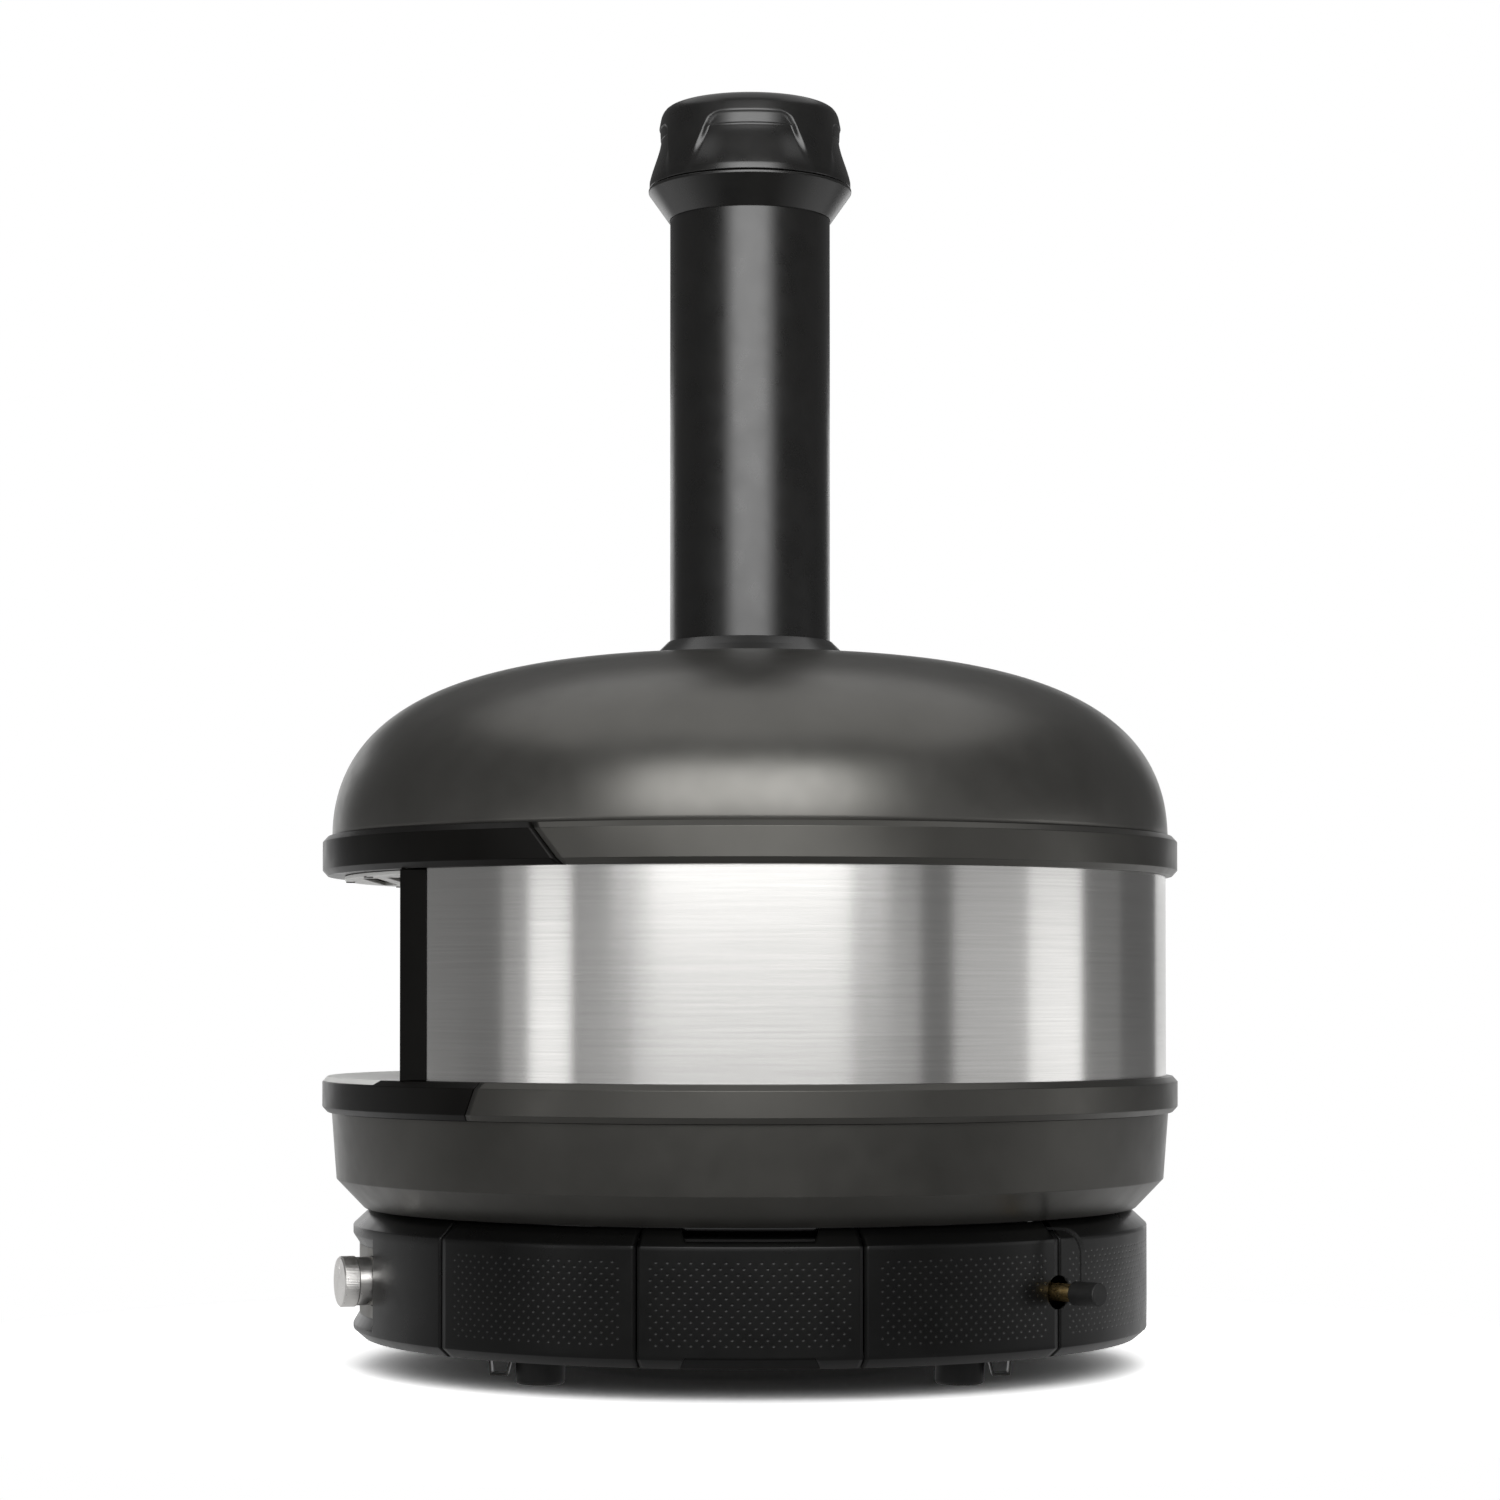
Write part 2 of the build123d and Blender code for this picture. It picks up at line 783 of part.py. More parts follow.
def make_wall_insulation():
    """The blanket between the lining and the steel band."""
    gap = seat_gap
    outer = band_radius - band_sheet - gap
    blanket = turned([
        (0, insulation_top),
        (lower_ring_bore - gap, insulation_top),
        (lower_ring_bore - gap, lower_ring_top + gap),
        (outer, lower_ring_top + gap),
        (outer, upper_ring_bottom - gap),
        (upper_ring_bore - gap, upper_ring_bottom - gap),
        (upper_ring_bore - gap, upper_ring_top),
        (0, upper_ring_top),
    ])
    blanket -= turned_edges(vault_outline(vault_sheet + gap))
    blanket -= tunnel_block(tunnel_sheet + gap, ring_radius, 0, insulation_top)
    front = mouth_plane - jamb_sheet - gap
    heights = (insulation_top, upper_ring_top)
    blanket -= block((-band_radius, band_radius), (-ring_radius, -front), heights)
    end_x, end_y, _ = at_angle(band_radius, -band_end_angle)
    for side in (1, -1):
        reach = sorted((side * (end_x - jamb_corner * 2), side * ring_radius))
        blanket -= block(reach, (-ring_radius, end_y + gap), heights)
    return blanket - duct_solid(gap)


def dome_edges(inset, bottom):
    """The filled outline of the dome, moved in by inset, from a bottom height to its flat top."""
    radius = dome_radius - inset
    top = dome_top - inset
    rise = top - upper_ring_top
    base = Line((0, 0, bottom), (radius, 0, bottom))
    edges = [base]
    if bottom < upper_ring_top:
        edges.append(Line((radius, 0, bottom), (radius, 0, upper_ring_top)))
    crown = Bezier(
        (radius, 0, upper_ring_top),
        (radius, 0, upper_ring_top + rise * dome_side_share),
        (flue_radius + (radius - flue_radius) * dome_crown_share, 0, top),
        (flue_radius, 0, top),
    )
    edges.append(crown)
    edges.append(Line((flue_radius, 0, top), (0, 0, top)))
    edges.append(Line((0, 0, top), (0, 0, bottom)))
    return edges


def make_outer_dome():
    """The enamelled dome, a thin shell with a round hole for the flue socket."""
    outer = turned_edges(dome_edges(0, upper_ring_top))
    inner = turned_edges(dome_edges(dome_sheet, upper_ring_top - overrun))
    hole = post(0, 0, duct_top, socket_flare_radius - dome_hole_margin, dome_top - duct_top + overrun)
    return outer - inner - hole


def make_dome_insulation():
    """The blanket under the dome, cut round the lining, the duct and the flue socket."""
    gap = seat_gap
    blanket = turned_edges(dome_edges(dome_sheet + gap, upper_ring_top))
    blanket -= turned_edges(vault_outline(vault_sheet + gap))
    blanket -= duct_solid(gap)
    return blanket - post(0, 0, duct_base, socket_bore + socket_wall + gap, dome_top - duct_base)


def duct_solid(extra):
    """The duct's space: a riser behind the visor, a sloped shoulder and a flat run to the flue."""
    low = upper_ring_bottom - seat_gap - extra
    front = duct_front + extra
    back = duct_front - duct_riser - extra
    shoulder = duct_shoulder
    elbow = upper_ring_bottom + duct_riser_height
    top = duct_top + extra
    base = duct_base - extra
    points = [
        (-front, low),
        (-front, elbow),
        (shoulder * 2 - front, top),
        (duct_back + extra, top),
        (duct_back + extra, base),
        (shoulder - back, base),
        (-back, base - shoulder),
        (-back, low),
    ]
    half = duct_half_width + extra
    section = make_face(Polyline(*[(0, y, z) for y, z in points], close=True))
    body = extrude(section, amount=half, dir=(1, 0, 0), both=True)
    round_limit = upper_ring_bore - seat_gap * 2 + extra
    return body & post(0, 0, low, round_limit, top - low)


def make_duct():
    """The sheet duct from the slots over the mouth to the flue, open at both."""
    wall = duct_sheet
    duct = duct_solid(0) - duct_solid(-wall)
    low = upper_ring_bottom - seat_gap - overrun
    mouth = block(
        (wall - duct_half_width, duct_half_width - wall),
        (wall - duct_front, duct_riser - duct_front - wall),
        (low, low + overrun * 2),
    )
    mouth &= post(0, 0, low, upper_ring_bore - seat_gap * 2 - wall, overrun * 2)
    outlet = post(0, 0, duct_top - overrun, socket_bore - socket_ledge, overrun * 2)
    return duct - mouth - outlet


def make_soffit():
    """The plate under the visor, with two slots across it that take in the smoke."""
    disc = post(0, 0, soffit_bottom, soffit_radius, soffit_thickness)
    far = soffit_radius + overrun
    heights = (soffit_bottom, soffit_bottom + soffit_thickness)
    depth = soffit_thickness + overrun * 2
    plate = disc & block((-far, far), (-far, -mouth_plane - seat_gap), heights)
    for middle, half in ((slot_front, slot_front_half_length), (slot_rear, slot_rear_half_length)):
        slot = SlotOverall(half * 2, slot_width)
        plate -= Pos(0, -middle, soffit_bottom - overrun) * extrude(slot, depth)
    for place in soffit_screw_places():
        plate -= post(*place, soffit_bottom - overrun, soffit_screw_radius, depth)
    return plate


def soffit_screw_places():
    """Where the screws go up through the soffit's front edge into the visor."""
    radius = soffit_radius - soffit_screw_edge
    return [at_angle(radius, -90 + turn)[:2] for turn in (-soffit_screw_angle, 0, soffit_screw_angle)]


def make_soffit_screws():
    """Three screws with low round heads."""
    screws = []
    for x, y in soffit_screw_places():
        low = soffit_bottom - soffit_screw_head_height
        head = post(x, y, low, soffit_screw_head_radius, soffit_screw_head_height)
        head = fillet(head.edges().group_by(Axis.Z)[0], soffit_screw_head_height / 2)
        screws.append(head + post(x, y, soffit_bottom, soffit_screw_radius, soffit_screw_length))
    return screws


def make_flue_socket():
    """The flared collar on the dome that the flue stands in, with a ledge under the flue."""
    outer = socket_bore + socket_wall
    seat = dome_top + seat_gap
    return turned([
        (socket_bore - socket_ledge, duct_top),
        (outer, duct_top),
        (outer, seat),
        (socket_flare_radius, seat),
        (socket_waist_radius, dome_top + socket_waist_rise),
        (outer, socket_top),
        (socket_bore, socket_top),
        (socket_bore, duct_top + socket_ledge_height),
        (socket_bore - socket_ledge, duct_top + socket_ledge_height),
    ])


def make_flue_pipe():
    """The straight flue, which lifts out of its socket."""
    pipe = post(0, 0, flue_bottom, flue_radius, flue_top - flue_bottom)
    return pipe - post(0, 0, flue_bottom, flue_radius - flue_sheet, flue_top - flue_bottom)


def make_collar():
    """The funnel round the top of the flue, closed by a flat rim that carries the cap."""
    sheet = collar_sheet
    inner = flue_radius + seat_gap
    return turned([
        (inner, collar_bottom),
        (inner + sheet, collar_bottom),
        (collar_radius, collar_rim_bottom),
        (collar_radius, collar_top),
        (collar_radius - sheet, collar_top),
        (collar_radius - sheet, collar_rim_bottom + sheet / 2),
        (inner, collar_rim_bottom + sheet / 2),
        (inner, collar_rim_bottom - sheet / 2),
        (collar_radius - sheet * 2, collar_rim_bottom - sheet / 2),
        (inner, collar_bottom + sheet * 2),
    ])


def cap_radius_at(height):
    """Outer radius of the cap's slanted side at a height."""
    bottom = cap_bottom + cap_band
    share = (height - bottom) / (cap_top - cap_shoulder_drop - bottom)
    return collar_radius + (cap_shoulder_radius - collar_radius) * share


def recess_cut(angle):
    """One recess in the cap's side: a dished floor, a sloped roof and a vent slot between them."""
    top = cap_top - recess_top_drop
    lip = top - recess_lip_drop
    bottom = cap_bottom + cap_band + seat_gap
    far = collar_radius + overrun * 2
    waist = lip - recess_waist_drop
    roof = Line((far, 0, top), (cap_radius_at(top), 0, top))
    inner = (cap_radius_at(top) - recess_lip_drop - run_gap, 0, lip - run_gap)
    slope = Line((cap_radius_at(top), 0, top), inner)
    sill = Line(inner, (recess_floor_radius, 0, lip))
    dish = Spline(
        (recess_floor_radius, 0, lip),
        (recess_waist_radius, 0, waist),
        (cap_radius_at(bottom), 0, bottom),
        tangents=((0, 0, -1), (1, 0, -1)),
    )
    floor = Line((cap_radius_at(bottom), 0, bottom), (far, 0, bottom))
    side = Line((far, 0, bottom), (far, 0, top))
    body = revolve(make_face([roof, slope, sill, dish, floor, side]), axis=Axis.Z)
    low = recess_low_half_width
    high = recess_top_half_width
    near = cap_roof_bore / 2
    window = FilletPolyline(
        (near, -low, bottom - overrun),
        (near, -high, top + overrun / 4),
        (near, high, top + overrun / 4),
        (near, low, bottom - overrun),
        radius=recess_corner,
    )
    closing = Line((near, low, bottom - overrun), (near, -low, bottom - overrun))
    prism = extrude(make_face([*window.edges(), closing]), amount=far, dir=(1, 0, 0))
    return Rot(0, 0, angle) * (body & prism)


def make_flue_cap():
    """The weather cap: a hollow drum with four vented recesses and a spigot that drops in the flue."""
    edge = cap_top_radius + (cap_shoulder_radius - cap_top_radius) / 2
    cap = turned([
        (0, cap_bottom),
        (collar_radius, cap_bottom),
        (collar_radius, cap_bottom + cap_band),
        (cap_shoulder_radius, cap_top - cap_shoulder_drop),
        (edge, cap_top - cap_shoulder_drop / 4),
        (cap_top_radius, cap_top),
        (0, cap_top),
    ])
    lip = cap_top - recess_top_drop - recess_lip_drop
    inner = recess_floor_radius - cap_wall
    cap -= turned([
        (0, cap_bottom + cap_wall),
        (inner, cap_bottom + cap_wall),
        (inner, lip),
        (cap_roof_bore, lip),
        (cap_roof_bore, cap_top - cap_roof),
        (0, cap_top - cap_roof),
    ])
    spigot = flue_radius - flue_sheet - cap_spigot_gap
    cap += turned([
        (spigot - cap_wall, flue_top - cap_spigot_depth),
        (spigot, flue_top - cap_spigot_depth),
        (spigot, cap_bottom + cap_wall),
        (spigot - cap_wall, cap_bottom + cap_wall),
    ])
    cap -= post(0, 0, cap_bottom - overrun, spigot - cap_wall, cap_wall + overrun * 2)
    for turn in range(4):
        cap -= recess_cut(turn * 90)
    return cap


def bezel_frustum(grow):
    """The space of the knob's recess, wide at the skirt and narrower at its back, grown by grow."""
    back = facing_out(knob_angle, skirt_radius - bezel_depth - grow, gas_height)
    depth = bezel_depth + overrun
    spread = bezel_slant * depth / bezel_depth
    small = Rectangle(
        (bezel_half_width - bezel_slant + grow) * 2,
        (bezel_half_height - bezel_slant + grow) * 2,
    )
    large = Rectangle(
        (bezel_half_width - bezel_slant + spread + grow) * 2,
        (bezel_half_height - bezel_slant + spread + grow) * 2,
    )
    return loft([back * small, back.offset(depth + grow) * large])


def make_bezel():
    """The pressed tray behind the knob, with a flat back and four sloped sides."""
    tray = bezel_frustum(bezel_sheet) - bezel_frustum(0)
    tray &= post(0, 0, base_bottom, skirt_radius - skirt_wall - seat_gap, skirt_top - base_bottom)
    behind = facing_out(knob_angle, skirt_radius - bezel_depth - overrun, gas_height)
    return tray - rod(behind, bezel_hole, overrun * 2)


def make_knob():
    """The control knob: a polished neck, a wider grip band and a pointer groove on its face."""
    base = facing_out(knob_angle, knob_tip - knob_length, gas_height)
    neck = rod(base, knob_neck_radius, knob_length - knob_grip_length)
    grip = rod(base.offset(knob_length - knob_grip_length), knob_radius, knob_grip_length)
    grip = chamfer(grip.edges().filter_by(GeomType.CIRCLE), knob_edge)
    knob = neck + grip
    knob -= rod(base, stem_radius + seat_gap / 4, stem_in_knob + seat_gap)
    face = facing_out(knob_angle, knob_tip - knob_mark_depth, gas_height)
    groove = Box(knob_mark_width, knob_radius, overrun, align=(Align.CENTER, Align.MIN, Align.MIN))
    return knob - face * Pos(0, knob_radius / 2, 0) * groove


def stem_root():
    """How far from the flue's axis the stem starts."""
    return knob_tip - knob_length + stem_in_knob - stem_length


def make_valve_parts():
    """The valve's body, its sliding plunger and the stem that turns inside it."""
    root = stem_root()
    stem = rod(facing_out(knob_angle, root, gas_height), stem_radius, stem_length)
    start = facing_out(knob_angle, root, gas_height)
    plunger = rod(start, plunger_radius, plunger_length) - rod(start, stem_radius + run_gap, plunger_length)
    bottom = root - knob_travel - valve_run_out - valve_floor
    back = facing_out(knob_angle, bottom, gas_height)
    body = rod(back, valve_radius, valve_front() - bottom)
    body -= rod(back.offset(valve_floor), plunger_radius + run_gap, valve_front() - bottom)
    return {"valve_stem": stem, "valve_plunger": plunger, "gas_valve_body": body}


def valve_front():
    """How far from the flue's axis the valve's front face lies."""
    return stem_root() + plunger_length - knob_travel - lift_gap


def valve_back():
    """How far from the flue's axis the valve's back face lies."""
    return stem_root() - knob_travel - valve_run_out - valve_floor


def make_bracket(angle, distance, hole_radius):
    """A folded bracket that stands on the pan and holds a gas fitting."""
    height = gas_height + bracket_rise - pan_top
    upright = Box(bracket_width, height, bracket_sheet, align=(Align.CENTER, Align.MIN, Align.MIN))
    foot = Box(bracket_width, bracket_sheet, bracket_foot, align=(Align.CENTER, Align.MIN, Align.MAX))
    plane = facing_out(angle, distance, pan_top)
    bracket = plane * upright + plane * foot
    return bracket - rod(facing_out(angle, distance - overrun, gas_height), hole_radius, overrun * 2)


def make_pipe(points):
    """A round pipe swept along straight runs joined by arcs."""
    path = FilletPolyline(*points, radius=pipe_bend)
    start = Plane(origin=points[0], z_dir=Vector(*points[1]) - Vector(*points[0]))
    return sweep(start * Circle(pipe_radius), path=path)


def make_supply_pipe():
    """The pipe inside the base from the inlet at the rear right to the back of the valve."""
    turn_radius = nipple_root * supply_turn_share
    side_radius = nipple_root * supply_side_share
    return make_pipe([
        at_angle(nipple_root, inlet_angle, gas_height),
        at_angle(turn_radius, inlet_angle, gas_height),
        at_angle(side_radius, 0, gas_height),
        at_angle(valve_back() - valve_approach, knob_angle, gas_height),
        at_angle(valve_back(), knob_angle, gas_height),
    ])


def make_burner_pipe():
    """The pipe from the valve's side to the rear, then up through the floor to the burner."""
    middle = (valve_back() + valve_front()) / 2
    centre = Vector(*at_angle(middle, knob_angle, gas_height))
    aside = Vector(*at_angle(1, knob_angle - 90))
    start = centre + aside * valve_radius
    corner = start + aside * burner_pipe_reach
    burner_bottom = floor_top + burner_lift - burner_radius
    return make_pipe([
        tuple(start),
        tuple(corner),
        (0, burner_y, gas_height),
        (0, burner_y, burner_bottom),
    ])


def make_burner():
    """A closed tube across the rear of the chamber, with a row of flame ports facing forwards."""
    height = floor_top + burner_lift
    end = Plane(origin=(-burner_half_length, burner_y, height), z_dir=(1, 0, 0))
    length = burner_half_length * 2
    tube = rod(end, burner_radius, length)
    tube -= rod(end.offset(burner_wall), burner_radius - burner_wall, length - burner_wall * 2)
    pitch = length / (burner_ports + 1)
    for index in range(burner_ports):
        x = pitch * (index + 1) - burner_half_length
        port = Plane(origin=(x, burner_y, height), z_dir=(0, -1, 1))
        tube -= rod(port, burner_port_radius, burner_radius + overrun)
    return tube


def make_flame_guard():
    """The upright strip between the floor stones and the burner."""
    return block(
        (-trench_half_width, trench_half_width),
        (trench_edge + seat_gap, guard_face),
        (insulation_top, insulation_top + guard_height),
    )


def make_igniter():
    """The ceramic electrode beside the burner."""
    y = guard_face + seat_gap + igniter_radius
    return post(igniter_x, y, insulation_top, igniter_radius, igniter_height)


def make_inlet_nipple():
    """The brass gas inlet: a hexagon behind the bracket and a tube out through the skirt."""
    start = facing_out(inlet_angle, nipple_root, gas_height)
    hexagon = start * extrude(RegularPolygon(nipple_nut_radius, 6), nipple_nut_length)
    tube = rod(start, nipple_radius, nipple_tip - nipple_root)
    bore_end = facing_out(inlet_angle, nipple_tip - nipple_bore_depth, gas_height)
    return hexagon + tube - rod(bore_end, nipple_bore, nipple_bore_depth)


def make_inlet_cap():
    """The rubber cap over the inlet."""
    start = facing_out(inlet_angle, cap_mouth, gas_height)
    cap = rod(start, cap_radius, cap_length)
    cap = fillet(cap.edges().filter_by(GeomType.CIRCLE), cap_edge)
    return cap - rod(start, nipple_radius + cap_bore_gap, cap_length - cap_end_wall)


def tether_height():
    """Height of the middle of the tether's tail, above the deck and under the heat shield."""
    return deck_top + tether_lift + tether_thickness / 2


def make_tether():
    """The flat strap from the cap, up and over the skirt's edge into the gap under the bowl."""
    start = gas_height + cap_radius - cap_edge
    path = FilletPolyline(
        at_angle(tether_radius, inlet_angle, start),
        at_angle(tether_radius, inlet_angle, tether_height()),
        at_angle(tether_radius - tether_tail, inlet_angle, tether_height()),
        radius=tether_bend,
    )
    outward = at_angle(1, inlet_angle)
    section = Plane(origin=at_angle(tether_radius, inlet_angle, start), x_dir=outward, z_dir=(0, 0, 1))
    strap = sweep(section * Rectangle(tether_thickness, tether_width), path=path)
    return strap - rod(facing_out(inlet_angle, cap_mouth, gas_height), cap_radius, cap_length)


def all_corners(maker):
    """One piece for each corner, gathered in one node."""
    return Compound(children=[maker(*sides) for sides in corners.values()])


def make_parts():
    """Every node of the oven, by name."""
    parts = {}
    parts.update(make_skirt())
    parts["base_pan"] = make_base_pan()
    for corner, sides in corners.items():
        parts["foot_" + corner] = make_foot(*sides)
    parts["foot_bolts"] = all_corners(make_foot_bolt)
    parts["foot_straps"] = all_corners(make_foot_strap)
    parts["base_posts"] = all_corners(make_base_post)
    parts["body_spacers"] = all_corners(make_spacer)
    parts["base_deck"] = make_base_deck()
    parts["heat_shield_disc"] = make_heat_shield()
    parts["bowl"] = make_bowl()
    parts.update(make_lower_ring())
    parts.update(make_upper_ring())
    parts["steel_band"] = make_steel_band()
    parts["right_jamb"] = make_jamb(1)
    parts["left_jamb"] = make_jamb(-1)
    parts["mouth_lintel"] = make_lintel()
    parts["mouth_tunnel"] = make_tunnel()
    parts["inner_vault"] = make_vault()
    parts.update(make_stones())
    parts["floor_insulation"] = make_floor_insulation()
    parts["wall_insulation"] = make_wall_insulation()
    parts["dome_insulation"] = make_dome_insulation()
    parts["outer_dome"] = make_outer_dome()
    parts["flue_duct"] = make_duct()
    parts["hood_soffit"] = make_soffit()
    parts["soffit_screws"] = Compound(children=make_soffit_screws())
    parts["flue_socket"] = make_flue_socket()
    parts["flue_pipe"] = make_flue_pipe()
    parts["flue_collar"] = make_collar()
    parts["flue_cap"] = make_flue_cap()
    parts["knob_bezel"] = make_bezel()
    parts["gas_knob"] = make_knob()
    parts.update(make_valve_parts())
    brackets = [
        make_bracket(knob_angle, valve_front(), plunger_radius + seat_gap),
        make_bracket(inlet_angle, nipple_root + nipple_nut_length, nipple_radius + seat_gap),
    ]
    parts["gas_brackets"] = Compound(children=brackets)
    parts["supply_pipe"] = make_supply_pipe()
    parts["burner_pipe"] = make_burner_pipe()
    parts["burner_tube"] = make_burner()
    parts["flame_guard"] = make_flame_guard()
    parts["igniter_electrode"] = make_igniter()
    parts["inlet_nipple"] = make_inlet_nipple()
    parts["inlet_cap"] = make_inlet_cap()
    parts["cap_tether"] = make_tether()
    return parts


os.makedirs("parts", exist_ok=True)
for name, shape in make_parts().items():
    export_step(shape, "parts/" + name + ".step")
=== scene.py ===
"""Portable pizza oven: the look of every piece, over the frame that the construction model gives."""
import json
import math
import bmesh
import bpy
import numpy as np
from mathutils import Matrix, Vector

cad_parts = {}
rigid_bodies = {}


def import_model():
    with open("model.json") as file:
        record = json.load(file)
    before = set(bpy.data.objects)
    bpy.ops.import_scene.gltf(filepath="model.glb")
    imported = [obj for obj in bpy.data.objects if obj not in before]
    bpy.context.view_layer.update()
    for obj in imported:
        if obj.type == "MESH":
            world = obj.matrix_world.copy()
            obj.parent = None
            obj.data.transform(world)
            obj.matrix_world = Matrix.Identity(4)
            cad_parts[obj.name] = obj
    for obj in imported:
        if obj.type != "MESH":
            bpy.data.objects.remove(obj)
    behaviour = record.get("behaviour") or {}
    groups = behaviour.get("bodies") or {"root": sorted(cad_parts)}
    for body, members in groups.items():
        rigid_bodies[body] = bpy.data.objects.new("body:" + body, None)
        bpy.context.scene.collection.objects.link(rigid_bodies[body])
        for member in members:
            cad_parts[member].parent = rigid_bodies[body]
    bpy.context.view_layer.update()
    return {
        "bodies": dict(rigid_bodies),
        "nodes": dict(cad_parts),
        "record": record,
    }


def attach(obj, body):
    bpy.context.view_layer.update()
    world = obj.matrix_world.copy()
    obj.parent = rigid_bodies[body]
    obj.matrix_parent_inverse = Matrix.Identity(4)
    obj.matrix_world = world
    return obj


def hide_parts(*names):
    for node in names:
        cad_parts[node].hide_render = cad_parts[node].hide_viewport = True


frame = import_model()
MM = 0.001
slots = {part["node"]: part["material_slot"] for part in frame["record"]["subparts"]}
body_of_empty = {empty: body for body, empty in frame["bodies"].items()}
body_of_node = {node: body_of_empty[piece.parent] for node, piece in frame["nodes"].items()}

# Camera, fitted to the curves of the rings, the flue and the cap
CAMERA_PLACE = (2.904, 0.0, 0.285)
CAMERA_TILT = 1.0
LENS = 89.7
SHIFT = 0.1201

# Sizes in millimetres and azimuths in degrees, as in the construction model
SKIRT = 306.0
PANEL_SHEET = 2.0
PANEL_FOOT = 24.5
PANEL_SHOULDER = 110.5
PANEL_TOP = 122.0
SIDE_SEAM = 15.0
CORNER_SEAM = 46.4
FRONT = 270.0
GAS_HEIGHT = 71.5
KNOB_ANGLE = -70.0
KNOB_HOLE = 18.8
INLET_ANGLE = 46.5
DISC_FOOT = 119.7
BOWL_FOOT = 123.0
LOWER_RING_FOOT = 196.0
WALL_FOOT = 223.3
WALL_TOP = 376.5
RING_TOP = 406.5
ROOF = 545.7
RING = 330.0
WALL = 321.0
DOME = 322.7
FLUE = 62.2
COLLAR = 79.0
CAP_FOOT = 912.7
CAP_TOP = 974.8

# Pattern of the skirt's dimples, and the trough round the knob, in millimetres and degrees
DIMPLE_PITCH = 8.25
DIMPLE_RISE = 4.114
DIMPLE_FOOT = 41.4
DIMPLE_ROWS = 15
SIDE_REACH = 13.2
BACK_REACH = 41.2
TROUGH_DEPTH = 5.0
TROUGH_HALF = 23.6
TROUGH_FLOOR_HALF = 21.8

# Hand notches in the centre panels, in millimetres
NOTCH_HALF = 51.0
NOTCH_RAMP = 5.0
NOTCH_DEPTH = 8.5

# Height in metres that the light panels and the lamps centre on
AIM_HEIGHT = 0.3


def make_camera():
    """The photograph's camera: level with the wall, looking at the oven's right side."""
    camera = bpy.data.objects.new("camera", bpy.data.cameras.new("camera"))
    camera.location = CAMERA_PLACE
    camera.rotation_euler = (math.radians(90 + CAMERA_TILT), 0, math.radians(90))
    camera.data.lens = LENS
    camera.data.sensor_width = 36
    camera.data.shift_y = SHIFT
    camera.data.clip_start = 0.05
    camera.data.clip_end = 50
    bpy.context.scene.collection.objects.link(camera)
    bpy.context.scene.camera = camera
    bpy.context.scene.view_settings.view_transform = "Standard"


def linear(code):
    """A colour written as six hex digits of sRGB, as the linear values that a shader takes."""
    parts = [int(code[start:start + 2], 16) / 255 for start in (1, 3, 5)]
    levels = [c / 12.92 if c <= 0.04045 else ((c + 0.055) / 1.055) ** 2.4 for c in parts]
    return (*levels, 1.0)


def add(tree, kind, inputs=None, **settings):
    """Adds one node; each input takes a constant or another node's output."""
    node = tree.nodes.new("ShaderNode" + kind)
    for key, value in settings.items():
        setattr(node, key, value)
    for key, value in (inputs or {}).items():
        socket = node.inputs[key]
        if isinstance(value, bpy.types.NodeSocket):
            tree.links.new(value, socket)
        else:
            socket.default_value = value
    return node


def new_material(name):
    """An empty material with its object coordinates, which are metres in the row frame."""
    material = bpy.data.materials.new(name)
    material.use_nodes = True
    tree = material.node_tree
    tree.nodes.clear()
    place = add(tree, "TexCoord").outputs["Object"]
    return material, tree, place


def noise(tree, place, size, detail=3.0, stretch=(1, 1, 1)):
    """Noise whose features are size millimetres across, drawn out by stretch along each axis."""
    scale = [1 / (size * MM * s) for s in stretch]
    spread = add(tree, "Mapping", {"Vector": place, "Scale": scale})
    return add(tree, "TexNoise", {"Vector": spread.outputs[0], "Scale": 1.0, "Detail": detail}).outputs[0]


def between(tree, value, low, high):
    """Maps noise, which lies about the middle of 0 to 1, to a range."""
    inputs = {"Value": value, "From Min": 0.3, "From Max": 0.7, "To Min": low, "To Max": high}
    return add(tree, "MapRange", inputs).outputs[0]


def blend_colours(tree, value, low, high):
    """Mixes two colours by noise."""
    factor = between(tree, value, 0.0, 1.0)
    mix = add(tree, "Mix", {"Factor": factor}, data_type="RGBA")
    for socket, code in ((mix.inputs[6], low), (mix.inputs[7], high)):
        socket.default_value = linear(code)
    return mix.outputs[2]


def coat(name, low, high, rough, patch=60.0, metal=0.0, ior=1.5, peel=(0.9, 0.004)):
    """A coated, moulded or plain surface: two tones in patches, uneven gloss and a fine relief.

    patch is the patches' size in millimetres, and peel is the relief's width and depth.
    """
    material, tree, place = new_material(name)
    tone = noise(tree, place, patch, 4.0)
    gloss = noise(tree, place, patch / 3)
    fine = noise(tree, place, peel[0], 2.0)
    bump = add(tree, "Bump", {"Height": fine, "Distance": peel[1] * MM, "Strength": 1.0})
    inputs = {
        "Base Color": blend_colours(tree, tone, low, high),
        "Roughness": between(tree, gloss, rough[0], rough[1]),
        "Metallic": metal,
        "Normal": bump.outputs[0],
    }
    if metal < 1:
        inputs["IOR"] = ior
    shader = add(tree, "BsdfPrincipled", inputs)
    add(tree, "OutputMaterial", {"Surface": shader.outputs[0]})
    return material


